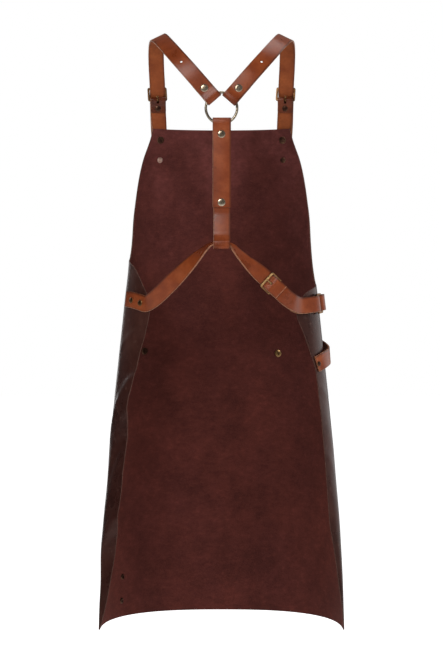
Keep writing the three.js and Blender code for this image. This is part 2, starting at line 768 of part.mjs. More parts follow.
// The ring and the strap that hangs from it, with the folded loop at its lower end.
const ring = new THREE.TorusGeometry(ringRadius, ringWire / 2, 6, 24).rotateX(Math.PI / 2);
solids.back_ring = { solid: toSolid(ring.translate(...ringCentre.toArray())), look: 'brass' };

const backPath = makePath([
  row('ring', 0, ringCentre.y, ringCentre.z, [0, -1, 0]),
  row('middle', 0, ringCentre.y, ringCentre.z - 80, [0, -1, 0]),
  row('end', 0, ringCentre.y, ringCentre.z - 240, [0, -1, 0]),
]);
const backStrapEnd = 156;
const backTop = layer / 2 + strapWall / 2;
const backRivets = [
  { name: 'back_rivet_upper', s: 41, layers: 2 },
  { name: 'back_rivet_lower', s: 148, layers: 3 },
];
const backCuts = backRivets.map(({ name, s, layers }) => {
  const low = backTop - (layers - 1) * layer - strapWall;
  return addRivet(name, backPath.at(s), low, backTop, rivetCap.large).shank;
});
const backPlaces = [...ringEnd(backStrapWidth, 57), [backStrapEnd, layer / 2]];
const backStrap = cutAll(makeStrap(backPath, backPlaces, backStrapWidth, [3, 1.5]), backCuts);
solids.back_strap = { solid: backStrap, look: 'strapLeather' };

// The loop opens into an eye as deep as the strap is wide, since the strap lies nearly flat in it.
const loopCorners = [
  { s: 136, n: -layer / 2 },
  { s: 165, n: -layer / 2, bend: 40 },
  { s: 199, n: 3, bend: 20 },
  { s: 210, n: 9, bend: 3.5 },
  { s: 220.7, n: 9.3, bend: 3 },
  { s: 214.1, n: -23, bend: 4 },
  { s: 165, n: -1.5 * layer, bend: 40 },
  { s: 136, n: -1.5 * layer },
];
const loopPlaces = bentLine(loopCorners);
const waistLoop = cutAll(makeStrap(backPath, loopPlaces, waistLoopWidth, [1, 1]), [backCuts[1]]);
solids.waist_loop = { solid: waistLoop, look: 'strapLeather' };

// The waist strap, the side strap and the side tab share one line round the back.
const sideLift = 2 * barOffset + strapWall / 2 + 0.9;
const tabSeat = layer + tabLift;
const leftPlaces = [
  { name: 'leftEnd', reach: 1.03, z: -422.5 },
  { name: 'leftStart', reach: 1.06, z: -423 },
  { name: 'leftOuter', reach: 1.093, z: -424.2 },
  { name: 'leftBetween', reach: 1.14, z: -426.3 },
  { name: 'leftInner', reach: 1.188, z: -428.7 },
  { name: 'leftRim', reach: 1.235, z: -431 },
];
const rightPlaces = [
  { name: 'rightEdge', reach: 1.225, z: -434 },
  { name: 'rightWrap', reach: 1.13, z: -432.5 },
];
const sideTabPlaces = [
  { name: 'tabRear', angle: 85, z: -427, lift: 5.5 },
  { name: 'tabSeated', angle: 80.6, z: -426.5, lift: tabSeat },
  { name: 'tabMiddle', angle: 75.2, z: -426, lift: tabSeat },
  { name: 'tabFront', angle: 70, z: -425.5, lift: tabSeat },
  { name: 'tabTip', angle: 64.8, z: -425, lift: tabSeat },
];
const waistBuckleRows = [
  { name: 'beforeFront', at: -9 },
  { name: 'frontBar', at: 0 },
  { name: 'waistBars', at: 9 },
  { name: 'heelBar', at: barReach },
  { name: 'underTip', at: 31.5 },
  { name: 'afterTip', at: 40 },
];
const sideLoopRows = [
  { name: 'beforeLoop', at: -14 },
  { name: 'loopRear', at: (barSize - sideLoopLength) / 2 },
  { name: 'loopMiddle', at: 0 },
  { name: 'loopFront', at: (sideLoopLength - barSize) / 2 },
  { name: 'afterLoop', at: 14 },
];
const sideLoopSeat = panelSeat(1, 1.034, -429.5, sideLift);
const sideLoopRear = panelSeat(1, 1.037, -429.65, sideLift).point;
const sideLoopAhead = panelSeat(1, 1.031, -429.35, sideLift).point.sub(sideLoopRear);
const waistBuckleSeat = vector(70.5, -93.6, -392.2);
const waistBuckleAlong = vector(0.73, 0.12, -0.672);
const waistPath = makePath([
  ...seatedRows(-1, tabLift, leftPlaces),
  row('leftTurn', -106, -73, -422.5, [-0.3, -0.94, -0.14]),
  row('leftBack', -80, -89.5, -398.6, [-0.12, -0.99, 0]),
  row('leftTwist', -57, -96.5, -376, [-0.37, -0.84, 0.4]),
  row('leftNear', -38, -99, -356.2, [-0.55, -0.58, 0.59]),
  row('leftDrop', -27.5, -99.3, -345.8, [-0.63, -0.36, 0.68]),
  row('leftLoop', -17, -98.9, -337.4, [-0.5, -0.22, 0.84]),
  row('loop', 0, -98.4, -334.6, [0, -0.2, 0.98]),
  row('rightLoop', 15, -98.6, -337.9, [0.4, -0.2, 0.89]),
  row('rightDrop', 24, -99.2, -348, [0.64, -0.42, 0.65]),
  row('rightNear', 40, -99, -364.9, [0.52, -0.68, 0.52]),
  ...straightRows(waistBuckleSeat, waistBuckleAlong, vector(0.1, -0.99, -0.05), waistBuckleRows),
  row('rightTurn', 113, -80.5, -428.5, [0.42, -0.9, 0]),
  ...seatedRows(1, sideLift, rightPlaces),
  ...straightRows(sideLoopSeat.point, sideLoopAhead, sideLoopSeat.face, sideLoopRows),
  ...sideTabPlaces.map(({ name, angle, z, lift }) => (
    { name, ...angleSeat(1, THREE.MathUtils.degToRad(angle), z, lift) }
  )),
]);
const waistMarks = waistPath.marks;
const frontBarAt = waistMarks.frontBar;
const heelAt = waistMarks.heelBar;
const strapTip = waistMarks.underTip;
const waistBuckle = makeBuckle(waistPath, heelAt, -1, waistSideBar);
solids.waist_buckle_frame = { solid: waistBuckle.frame, look: 'brass' };
solids.waist_buckle_tongue = { solid: waistBuckle.tongue, look: 'brass' };

const waistPlaces = [
  [waistMarks.leftEnd, 0],
  [frontBarAt - 6, -0.2],
  [frontBarAt + 4, -0.2],
  [heelAt - 3, layer + 0.5],
  [heelAt + 3, layer + 0.2],
  [strapTip, layer],
];
const waistCuts = [waistBuckle.strapSlot];
for (const [name, mark] of [['waist_rivet_outer', 'leftOuter'], ['waist_rivet_inner', 'leftInner']]) {
  const place = waistPath.at(waistMarks[mark]);
  const holes = addRivet(name, place, underPanel, strapWall / 2, rivetCap.medium);
  waistCuts.push(holes.strapHole);
  panelCuts.push(holes.panelHole);
}
const waistStrap = cutAll(makeStrap(waistPath, waistPlaces, strapWidth, [3, 1.5]), waistCuts);
solids.waist_strap = { solid: waistStrap, look: 'strapLeather' };

// The side strap is a doubled band round the heel bar and the rectangular loop, lapped inside.
const loopRearBar = waistMarks.loopRear;
const loopFrontBar = waistMarks.loopFront;
const lapAt = (heelAt + loopRearBar) / 2;
const bandPlaces = [
  [lapAt - 9, -2 * layer],
  [lapAt + 9, -2 * layer],
  [lapAt + 14, -1.4 * layer],
  [loopRearBar - 3, -2 * barOffset],
  ...halfTurn(loopRearBar, -barOffset, barOffset, 1, -1),
  ...halfTurn(heelAt, -barOffset, barOffset, -1, 1),
  [heelAt + 2, -2 * barOffset],
  [heelAt + 10, -layer],
  [lapAt + 7, -layer],
];
const sideStrap = makeStrap(waistPath, bandPlaces, strapWidth, [1.5, 1.5]).subtract(waistBuckle.foldSlot);
solids.side_strap = { solid: sideStrap, look: 'strapLeather' };

const rearBar = waistPath.off(loopRearBar, -barOffset);
const frontBarPoint = waistPath.off(loopFrontBar, -barOffset);
const sideAlong = frontBarPoint.clone().sub(rearBar).normalize();
const sideAcross = waistPath.at((loopRearBar + loopFrontBar) / 2).across;
sideAcross.addScaledVector(sideAlong, -sideAcross.dot(sideAlong)).normalize();
const sideFace = sideAcross.clone().cross(sideAlong);
const sideMiddle = rearBar.clone().add(frontBarPoint).multiplyScalar(0.5);
const sideBars = frameGeometry(frameWidth, sideLoopLength, barSize);
const sideFrame = placed(sideBars, sideAcross, sideAlong, sideFace, sideMiddle);
solids.side_loop = { solid: toSolid(sideFrame), look: 'brass' };

const tabEnd = waistMarks.tabTip;
const sideTabLine = [[tabEnd, 0], ...foldedEnd(loopFrontBar, -1, 11, tabEnd - loopFrontBar)];
const sideTabCuts = [];
const sideTabRivets = [
  { name: 'side_tab_rivet_rear', s: tabEnd - 30 },
  { name: 'side_tab_rivet_front', s: tabEnd - 10 },
];
for (const rivet of sideTabRivets) {
  const low = -tabSeat - panelWall;
  const holes = addRivet(rivet.name, waistPath.at(rivet.s), low, strapWall / 2, rivetCap.medium);
  sideTabCuts.push(holes.strapHole);
  panelCuts.push(holes.panelHole);
}
const sideTab = cutAll(makeStrap(waistPath, sideTabLine, strapWidth, [4, 4]), sideTabCuts);
solids.side_tab = { solid: sideTab, look: 'strapLeather' };

// The tool loop: a strap that starts at the cut edge, bows out and comes down further forward.
const toolRows = [
  { name: 'start', reach: 1.094, z: -527.5, lift: 0 },
  { name: 'rearRivet', reach: 1.082, z: -526.6, lift: 0 },
  { name: 'rise', reach: 1.045, z: -522.5, lift: 3 },
  { name: 'bow', reach: 1.0, z: -515, lift: 7 },
  { name: 'top', reach: 0.985, z: -508, lift: 7.6 },
  { name: 'fall', reach: 0.94, z: -499, lift: 4 },
  { name: 'frontRivet', reach: 0.88, z: -490, lift: 0 },
  { name: 'end', reach: 0.82, z: -484, lift: 0 },
];
const toolPath = makePath(
  toolRows.map(({ name, reach, z, lift }) => ({ name, ...panelSeat(1, reach, z, tabLift + lift) })),
);
const toolPlaces = [[0, 0], [toolPath.length, 0]];
const toolCuts = [];
for (const end of ['rear', 'front']) {
  const place = toolPath.at(toolPath.marks[`${end}Rivet`]);
  const holes = addRivet(`tool_loop_rivet_${end}`, place, underPanel, strapWall / 2, rivetCap.small);
  toolCuts.push(holes.strapHole);
  panelCuts.push(holes.panelHole);
}
const toolLoop = cutAll(makeStrap(toolPath, toolPlaces, strapWidth, [1.5, 6]), toolCuts);
solids.tool_loop = { solid: toolLoop, look: 'strapLeather' };

// Rivets in the panel that show on its inner side.
const panelRivets = [
  { name: 'panel_rivet_right', side: 1, x: 95.8, z: -511, cap: rivetCap.large },
  { name: 'panel_rivet_left', side: -1, x: 130, z: -507, cap: rivetCap.large },
  { name: 'hem_rivet_upper', side: -1, x: 165.4, z: -880, cap: rivetCap.medium },
  { name: 'hem_rivet_lower', side: -1, x: 166.7, z: -919, cap: rivetCap.medium },
];
for (const rivet of panelRivets) {
  const place = panelSeat(rivet.side, frontReach(rivet.x, rivet.z), rivet.z, 0);
  panelCuts.push(addRivet(rivet.name, place, -panelWall, 0, rivet.cap).panelHole);
}

solids.apron_panel = { solid: cutAll(makePanel(), panelCuts), look: 'panelLeather' };

const apron = new THREE.Group();
apron.name = 'leather_bib_apron';
for (const [name, { solid, look }] of Object.entries(solids)) {
  const mesh = new THREE.Mesh(fromSolid(solid), new THREE.MeshStandardMaterial(colours[look]));
  mesh.name = name;
  apron.add(mesh);
}

export default apron;
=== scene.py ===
import bisect
import functools
import math

import bpy
from mathutils import Matrix, Vector


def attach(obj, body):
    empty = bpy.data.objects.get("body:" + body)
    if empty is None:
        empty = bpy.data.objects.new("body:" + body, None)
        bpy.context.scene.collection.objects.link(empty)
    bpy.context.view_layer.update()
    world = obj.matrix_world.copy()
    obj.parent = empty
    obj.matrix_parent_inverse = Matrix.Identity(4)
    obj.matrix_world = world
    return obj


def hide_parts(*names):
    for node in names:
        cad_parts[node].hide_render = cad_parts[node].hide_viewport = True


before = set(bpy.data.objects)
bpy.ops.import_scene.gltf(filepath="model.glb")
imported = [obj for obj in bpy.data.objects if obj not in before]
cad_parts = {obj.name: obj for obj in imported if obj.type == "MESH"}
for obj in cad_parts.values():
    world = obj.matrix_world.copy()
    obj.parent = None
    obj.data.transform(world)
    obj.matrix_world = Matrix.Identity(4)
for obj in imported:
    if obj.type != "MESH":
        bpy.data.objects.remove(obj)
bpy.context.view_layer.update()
mm = 0.001  # the tables below are in millimetres, Blender is in metres

# sizes shared by several pieces
leather = {
    "gap": 0.3,
    "panelWall": 2.0,
    "strapWall": 2.6,
    "strapWidth": 25.0,
    "backStrapWidth": 28.0,
    "loopWidth": 25.4,
    "burnishedEdge": 0.8,
}
brassware = {
    "bar": 3.2,
    "waistSideBar": 2.0,
    "strapClear": 0.4,
    "barClear": 0.45,
    "bandClear": 0.9,
    "pastBar": 2,  # how far a fold stays open past its bar
    "frameLength": 23.0,
    "sideLoopLength": 17.0,
    "tongueWidth": 3.0,
    "ringWire": 4.2,
    "ringRadius": 24.6,
    "capHeight": 1.2,
    "shank": 2.0,
    "beltHole": 2.1,
}
rivetCap = {"large": 6.0, "medium": 4.7, "small": 4.0}
gap, panelWall, strapWall = (leather[key] for key in ("gap", "panelWall", "strapWall"))
halfWall = strapWall / 2
strapWidth = leather["strapWidth"]
bar, frameLength = brassware["bar"], brassware["frameLength"]
ringRadius, tongueWidth = brassware["ringRadius"], brassware["tongueWidth"]
layer = strapWall + gap
frameWidth = strapWidth + 2 * (brassware["strapClear"] + bar)
waistFrameWidth = strapWidth + 2 * (brassware["strapClear"] + brassware["waistSideBar"])
barOffset = bar / 2 + brassware["barClear"] + halfWall
barReach = math.sqrt((frameLength - bar) ** 2 - (2 * barOffset) ** 2)
tabLift = gap + halfWall
underPanel = -tabLift - panelWall
capOver = layer + brassware["capHeight"] + gap

# the form that the panel hangs round: z, halfWidth, frontY, sideY, backDepth, roundness
formColumns = ("z", "halfWidth", "frontY", "sideY", "backDepth", "roundness")
formRows = [
    (-130, 157, 86, -4, 84, 0.9),
    (-200, 157, 102, -2, 84, 0.9),
    (-270, 154.6, 108, 0, 84, 0.88),
    (-350, 151, 106, 2, 84, 0.88),
    (-430, 158.5, 104, 2, 84, 0.88),
    (-520, 167.5, 107, -4, 84, 0.86),
    (-600, 175.3, 110, -16, 80, 0.84),
    (-700, 183.2, 111, -36, 66, 0.82),
    (-800, 190.3, 110, -58, 46, 0.8),
    (-880, 193, 108.5, -75, 30, 0.8),
    (-945, 194, 108, -88, 16, 0.8),
]
# how far the two cut edges reach round it: 1 is the widest point, more lies behind it
edgeColumns = ("z", "left", "right")
edgeRows = [
    (-136, 0.726, 0.726),
    (-156, 0.761, 0.761),
    (-190, 0.834, 0.834),
    (-224, 0.882, 0.882),
    (-258, 0.92, 0.92),
    (-291, 0.951, 0.951),
    (-325, 0.974, 0.972),
    (-350, 0.993, 0.985),
    (-358, 1, 0.988),
    (-372, 1.073, 0.992),
    (-398, 1.175, 1),
    (-415, 1.235, 1.147),
    (-432, 1.28, 1.205),
    (-447, 1.276, 1.244),
    (-477, 1.253, 1.19),
    (-505, 1.216, 1.144),
    (-540, 1.188, 1.1),
    (-600, 1.147, 1.096),
    (-700, 1.142, 1.086),
    (-775, 1.137, 1.087),
    (-820, 1.115, 1.063),
    (-880, 1.079, 1.032),
    (-920, 1.04, 1.008),
    (-945, 1.006, 1.002),
]
# soft waves of the wrapped sides, each running down and forward from the cut edge
foldColumns = ("side", "edgeZ", "fall", "breadth", "height")
foldRows = [
    (-1, -575, 95, 26, 4.5),
    (-1, -645, 95, 30, -3.5),
    (-1, -765, 75, 26, 4),
    (-1, -830, 60, 26, -3),
    (1, -610, 80, 34, 1.5),
    (1, -760, 70, 36, -0.8),
]
# sharper creases that the visible sheet has on top of those waves
creaseRows = [
    (-1, -470, 50, 7, 0.8),
    (-1, -545, 130, 8, 1.6),
    (-1, -568, 140, 7, -1.3),
    (-1, -596, 160, 9, 1.8),
    (-1, -640, 150, 8, -1.3),
    (-1, -700, 120, 9, 0.9),
    (-1, -765, 105, 8, 1.7),
    (-1, -795, 95, 7, -1.2),
    (1, -560, 60, 9, 0.7),
    (1, -668, 74, 10, 0.6),
]
formTable = [dict(zip(formColumns, row)) for row in formRows]
edgeTable = [dict(zip(edgeColumns, row)) for row in edgeRows]
foldTable = [dict(zip(foldColumns, row)) for row in foldRows]
creaseTable = [dict(zip(foldColumns, row)) for row in creaseRows]


def tableValue(rows, column, z):
    last = len(rows) - 1
    i = max(1, next((k for k, row in enumerate(rows) if row["z"] <= z), last))

    def slope(k):
        return (rows[k + 1][column] - rows[k][column]) / (rows[k + 1]["z"] - rows[k]["z"])

    def tangent(k):
        if k in (0, last):
            return slope(0 if k == 0 else last - 1)
        before, after = slope(k - 1), slope(k)
        return 0 if before * after <= 0 else 2 * before * after / (before + after)

    span = rows[i]["z"] - rows[i - 1]["z"]
    u = min(1, max(0, (z - rows[i - 1]["z"]) / span))
    start = rows[i - 1][column] * (1 + 2 * u) * (1 - u) ** 2 + tangent(i - 1) * span * u * (1 - u) ** 2
    return start + rows[i][column] * u * u * (3 - 2 * u) + tangent(i) * span * u * u * (u - 1)


@functools.lru_cache(maxsize=None)
def formAt(z):
    return {column: tableValue(formTable, column, z) for column in formColumns[1:]}


def smoothStep(low, high, value):
    u = min(1, max(0, (value - low) / (high - low)))
    return u * u * (3 - 2 * u)


# angle round the form: 0 at the middle of the front, a right angle at the widest point
def reachAngle(reach, z):
    if reach <= 1:
        return math.asin(min(1, max(0, reach) ** (1 / formAt(z)["roundness"])))
    return math.pi - math.asin(2 - reach)


@functools.lru_cache(maxsize=None)
def edgeAngle(side, z):
    return reachAngle(tableValue(edgeTable, "left" if side < 0 else "right", z), z)


def formPoint(side, angle, z):
    form = formAt(z)
    if angle > math.pi / 2:
        y = form["sideY"] + form["backDepth"] * math.cos(angle)
        return Vector((side * form["halfWidth"] * math.sin(angle), y, z))
    y = form["sideY"] + (form["frontY"] - form["sideY"]) * max(0, math.cos(angle)) ** form["roundness"]
    return Vector((side * form["halfWidth"] * max(0, math.sin(angle)) ** form["roundness"], y, z))


def formNormal(side, angle, z):
    turn, rise = 0.02, 3
    ahead = formPoint(side, angle + turn, z)
    behind = formPoint(-side, turn - angle, z) if angle < turn else formPoint(side, angle - turn, z)
    upward = formPoint(side, angle, z + rise) - formPoint(side, angle, z - rise)
    return (upward.cross(ahead - behind) * side).normalized()


def foldHeight(side, angle, z, folds=foldTable, rise=None):
    firstAngle, pastEdge = 1.35, 0.05
    behind = smoothStep(firstAngle, edgeAngle(side, z) + pastEdge, angle)
    share = behind if rise is None else smoothStep(*rise, angle)
    height = 0
    for fold in folds:
        if fold["side"] == side:
            crest = fold["edgeZ"] - fold["fall"] * (1 - behind)
            height += fold["height"] * share * math.exp(-(((z - crest) / fold["breadth"]) ** 2))
    return height


# a place on the panel's outer face, lifted off it, and the direction it faces
def angleSeat(side, angle, z, lift):
    face = formNormal(side, angle, z)
    return formPoint(side, angle, z) + face * (foldHeight(side, angle, z) + lift), face


def panelSeat(side, reach, z, lift):
    return angleSeat(side, reachAngle(reach, z), z, lift)


def frontReach(x, z):
    return abs(x) / formAt(z)["halfWidth"]


# materials

def tint(red, green, blue):  # a colour as seen on screen, 0 to 255
    def linear(value):
        value /= 255
        return value / 12.92 if value <= 0.04045 else ((value + 0.055) / 1.055) ** 2.4
    return (linear(red), linear(green), linear(blue), 1)


class Nodes:
    def __init__(self, tree):
        self.tree = tree

    def add(self, kind, settings=None, **inputs):
        node = self.tree.nodes.new(kind)
        for name, value in (settings or {}).items():
            setattr(node, name, value)
        for name, value in inputs.items():
            self.feed(node.inputs[name], value)
        return node

    def feed(self, socket, value):
        if isinstance(value, bpy.types.NodeSocket):
            self.tree.links.new(value, socket)
        else:
            socket.default_value = value

    def feedAll(self, sockets, values):
        for socket, value in zip(sockets, values):
            self.feed(socket, value)

    def spread(self, value, low, high, toLow, toHigh):
        node = self.add("ShaderNodeMapRange")
        names = ("Value", "From Min", "From Max", "To Min", "To Max")
        self.feedAll([node.inputs[name] for name in names], (value, low, high, toLow, toHigh))
        return node.outputs["Result"]

    def split(self, vector):
        return self.add("ShaderNodeSeparateXYZ", Vector=vector).outputs


class Finish(Nodes):
    def __init__(self, name):
        self.material = bpy.data.materials.new(name)
        self.material.use_nodes = True
        super().__init__(self.material.node_tree)
        self.shader = self.tree.nodes["Principled BSDF"]

    def set(self, **values):
        for name, value in values.items():
            self.feed(self.shader.inputs[name.replace("_", " ")], value)

    def place(self, scale=(1, 1, 1)):
        coordinates = self.add("ShaderNodeTexCoord").outputs["Object"]
        return self.add("ShaderNodeMapping", Vector=coordinates, Scale=scale).outputs["Vector"]

    def noise(self, where, scale, detail=3, roughness=0.55):
        node = self.add("ShaderNodeTexNoise", Vector=where, Scale=scale, Detail=detail, Roughness=roughness)
        return node.outputs["Fac"]

    def pores(self, where, scale):
        return self.add("ShaderNodeTexVoronoi", Vector=where, Scale=scale).outputs["Distance"]

    def ramp(self, value, *stops):
        node = self.add("ShaderNodeValToRGB", Fac=value)
        while len(node.color_ramp.elements) < len(stops):
            node.color_ramp.elements.new(0.5)
        for element, (position, colour) in zip(node.color_ramp.elements, stops):
            element.position = position
            element.color = colour
        return node.outputs["Color"]

    def sum(self, operation, first, second=0.0):
        node = self.add("ShaderNodeMath", {"operation": operation})
        self.feedAll(node.inputs, (first, second))
        return node.outputs["Value"]

    def mix(self, share, first, second):
        node = self.add("ShaderNodeMix", {"data_type": "RGBA"})
        self.feedAll((node.inputs["Factor"], node.inputs[6], node.inputs[7]), (share, first, second))
        return node.outputs[2]

    def bump(self, height, strength, distance, under=None):
        node = self.add("ShaderNodeBump", Height=height, Strength=strength, Distance=distance)
        if under:
            self.feed(node.inputs["Normal"], under)
        return node.outputs["Normal"]

    def acrossStrap(self):  # 0 in the middle of a strap, 1 at its edges
        uv = self.add("ShaderNodeUVMap", {"uv_map": "strapMap"}).outputs["UV"]
        fromMiddle = self.sum("SUBTRACT", self.split(uv)["Y"], 0.5)
        return self.sum("MULTIPLY", self.sum("ABSOLUTE", fromMiddle), 2)


def suedeFinish():
    f = Finish("panel suede")
    where = f.place()
    # the ramp runs from top to bottom: its lighter top is a painted pool of light from the lamps above, while
    # the shift from purple to red is the suede's own
    height = f.spread(f.split(where)["Z"], -0.13, -0.75, 0, 1)
    mottle = f.noise(f.place((1, 1, 0.6)), 6, 6, 0.6)
    blend = f.sum("ADD", height, f.spread(mottle, 0.32, 0.68, -0.5, 0.5))
    tone = f.ramp(blend, (0, tint(112, 60, 57)), (0.4, tint(89, 44, 40)), (1, tint(94, 45, 38)))
    cloud = f.spread(f.noise(where, 13, 7, 0.72), 0.38, 0.64, 0.58, 0)
    tone = f.mix(cloud, tone, tint(44, 19, 17))
    brushed = f.noise(f.place((1, 1, 1.8)), 90, 7, 0.75)
    tone = f.mix(f.spread(brushed, 0.38, 0.66, 0.4, 0), tone, tint(40, 18, 17))
    tone = f.mix(f.spread(brushed, 0.55, 0.75, 0, 0.2), tone, tint(118, 58, 50))
    scar = f.spread(f.noise(f.place((1, 1, 3.2)), 19, 8, 0.75), 0.66, 0.74, 0, 0.55)
    tone = f.mix(scar, tone, tint(34, 15, 14))
    nap = f.noise(f.place((1, 1, 1.6)), 420, 4, 0.7)
    tone = f.mix(f.spread(nap, 0.35, 0.75, 0, 0.2), tone, tint(122, 64, 55))
    f.set(Base_Color=tone, Roughness=0.92, Specular_IOR_Level=0.1, Sheen_Weight=0.15, Sheen_Roughness=0.6)
    f.set(Sheen_Tint=tint(170, 104, 92))
    f.set(Normal=f.bump(nap, 0.4, 0.0006, f.bump(brushed, 0.12, 0.001)))
    return f.material


def hideFinish():
    f = Finish("panel waxed grain")
    where = f.place()
    streak = f.noise(f.place((1, 1, 0.7)), 11, 7, 0.68)
    tone = f.ramp(streak, (0.34, tint(40, 19, 16)), (0.52, tint(54, 27, 22)), (0.72, tint(72, 42, 35)))
    scuff = f.spread(f.noise(where, 120, 6, 0.7), 0.58, 0.75, 0, 0.4)
    tone = f.mix(scuff, tone, tint(106, 82, 74))
    pores = f.pores(where, 700.0)
    f.set(Base_Color=tone, Roughness=f.spread(streak, 0.3, 0.7, 0.22, 0.36), Specular_IOR_Level=0.36)
    f.set(Specular_Tint=tint(236, 214, 206))
    wrinkle = f.bump(f.noise(where, 75, 6, 0.6), 0.3, 0.0012)
    f.set(Normal=f.bump(pores, 0.2, 0.0003, wrinkle))
    return f.material


def cutEdgeFinish():
    f = Finish("panel cut edge")
    fibres = f.noise(f.place(), 300, 5, 0.7)
    f.set(Base_Color=f.ramp(fibres, (0.3, tint(62, 38, 33)), (0.7, tint(104, 74, 64))), Roughness=0.8)
    f.set(Specular_IOR_Level=0.2, Normal=f.bump(fibres, 0.3, 0.0004))
    return f.material


def strapGrainFinish(name, dark, plain, pale):
    f = Finish(name)
    where = f.place()
    cloud = f.noise(where, 22, 5, 0.6)
    tone = f.ramp(cloud, (0.28, dark), (0.5, plain), (0.74, pale))
    speck = f.spread(f.noise(where, 260, 5, 0.7), 0.54, 0.78, 0, 0.5)
    tone = f.mix(speck, tone, tint(84, 36, 17))
    rim = f.spread(f.acrossStrap(), 0.8, 0.98, 0, 0.7)
    tone = f.mix(rim, tone, tint(66, 29, 15))
    pores = f.pores(where, 900.0)
    f.set(Base_Color=tone, Roughness=f.spread(cloud, 0.3, 0.7, 0.24, 0.38), Specular_IOR_Level=0.26)
    crease = f.bump(f.noise(where, 130, 5, 0.6), 0.14, 0.0008)
    f.set(Normal=f.bump(pores, 0.18, 0.0003, crease))
    return f.material


def strapFleshFinish():
    f = Finish("strap flesh side")
    fibres = f.noise(f.place(), 190, 6, 0.7)
    cloud = f.noise(f.place(), 28, 4, 0.6)
    tone = f.ramp(cloud, (0.3, tint(120, 56, 26)), (0.7, tint(156, 83, 42)))
    tone = f.mix(f.spread(fibres, 0.4, 0.75, 0, 0.5), tone, tint(106, 51, 26))
    rim = f.spread(f.acrossStrap(), 0.72, 0.98, 0, 0.6)
    tone = f.mix(rim, tone, tint(74, 34, 18))
    f.set(Base_Color=tone, Roughness=0.7, Specular_IOR_Level=0.2, Normal=f.bump(fibres, 0.3, 0.0005))
    return f.material


def strapEdgeFinish():
    f = Finish("strap burnished edge")
    fibres = f.noise(f.place(), 240, 5, 0.7)
    tone = f.ramp(fibres, (0.3, tint(98, 52, 31)), (0.72, tint(178, 120, 84)))
    f.set(Base_Color=tone, Roughness=0.4, Normal=f.bump(fibres, 0.2, 0.0004))
    return f.material


# a metal in mottled dark, plain and bright tones, worn bright on its edges
def metalFinish(name, dark, plain, bright, gloss):
    f = Finish(name)
    where = f.place()
    age = f.noise(where, 160, 5, 0.6)
    tone = f.ramp(age, (0.32, dark), (0.5, plain), (0.74, bright))
    worn = f.add("ShaderNodeNewGeometry").outputs["Pointiness"]
    tone = f.mix(f.spread(worn, 0.5, 0.6, 0, 0.7), tone, bright)
    f.set(Base_Color=tone, Metallic=1.0, Roughness=f.spread(age, 0.3, 0.7, 0.5 - gloss, 0.36 - gloss))
    f.set(Normal=f.bump(f.noise(where, 900, 3, 0.6), 0.06, 0.0003))
    return f.material


suede = suedeFinish()
hide = hideFinish()
cutEdge = cutEdgeFinish()
strapGrain = strapGrainFinish("strap cognac grain", tint(98, 40, 15), tint(126, 56, 23), tint(152, 77, 38))
# the chest tabs take a darker cognac grain than the straps
tabGrain = strapGrainFinish("tab darker grain", tint(66, 27, 12), tint(92, 40, 19), tint(118, 56, 28))
strapFlesh = strapFleshFinish()
strapEdge = strapEdgeFinish()
brass = metalFinish("antique brass", tint(58, 42, 27), tint(112, 84, 52), tint(196, 158, 108), 0.14)
# dark brass: the own dark tone of some rivets, and painted shade on the buckle frames and side bars
darkBrassAndShade = metalFinish("dark brass and painted shade", tint(48, 32, 22), tint(82, 57, 37), tint(148, 110, 72), 0.06)
bronze = metalFinish("pale bronze", tint(92, 78, 64), tint(148, 130, 108), tint(218, 202, 180), 0.2)
dullBronze = metalFinish("dull bronze", tint(44, 26, 22), tint(66, 44, 35), tint(108, 80, 62), 0.0)
paleBrass = metalFinish("pale brass", tint(104, 92, 76), tint(146, 133, 114), tint(204, 192, 172), 0.2)
# a pale pink copper whose brightness is a painted highlight
copperWithHighlight = metalFinish("copper rivet back with painted highlight", tint(140, 100, 82), tint(196, 158, 140), tint(238, 206, 190), 0.06)
print("materials made")


# common steps

def clearSelection():
    bpy.ops.object.select_all(action="DESELECT")


def choose(*pieces):
    clearSelection()
    for piece in pieces:
        piece.select_set(True)
    bpy.context.view_layer.objects.active = pieces[0]


def joinPieces(pieces):
    choose(*pieces)
    if len(pieces) > 1:
        bpy.ops.object.join()
    return pieces[0]


def editMode():
    bpy.ops.object.mode_set(mode="EDIT")


def objectMode():
    bpy.ops.object.mode_set(mode="OBJECT")


# edit mode with only the wanted elements of the active piece selected
def editOnly(piece, kind, wanted):
    editMode()
    bpy.ops.mesh.select_mode(type=kind)
    bpy.ops.mesh.select_all(action="DESELECT")
    objectMode()
    for element in getattr(piece.data, {"VERT": "vertices", "EDGE": "edges", "FACE": "polygons"}[kind]):
        element.select = wanted(element)
    editMode()


def raiseSelected(height):
    bpy.ops.transform.translate(value=(0, 0, height))


# a closed mesh made directly from points in millimetres
def meshPiece(name, points, faces, kinds, finishes):
    mesh = bpy.data.meshes.new(name)
    mesh.from_pydata([tuple(point * mm) for point in points], [], faces)
    for finish in finishes:
        mesh.materials.append(finish)
    mesh.polygons.foreach_set("material_index", kinds)
    mesh.update()
    piece = bpy.data.objects.new(name, mesh)
    bpy.context.scene.collection.objects.link(piece)
    choose(piece)
    editMode()
    bpy.ops.mesh.select_all(action="SELECT")
    bpy.ops.mesh.normals_make_consistent(inside=False)
    objectMode()
    return piece


def settle(piece, node):
    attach(piece, "root")
    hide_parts(node)
    return piece


def placeMatrix(across, along, face, point):
    turned = Matrix((across, along, face)).transposed().to_4x4()
    return Matrix.Translation(point * mm) @ turned


def squareTo(face):
    steep = 0.9
    guess = Vector((0, 0, 1)) if abs(face.z) < steep else Vector((1, 0, 0))
    across = guess.cross(face).normalized()
    return across, face.cross(across)


def applyModifiers(piece):
    choose(piece)
    for modifier in list(piece.modifiers):
        bpy.ops.object.modifier_apply(modifier=modifier.name)


def cutWith(piece, cutter):
    modifier = piece.modifiers.new("cut", "BOOLEAN")
    modifier.operation = "DIFFERENCE"
    modifier.solver = "EXACT"
    modifier.object = cutter
    applyModifiers(piece)
    bpy.data.objects.remove(cutter)


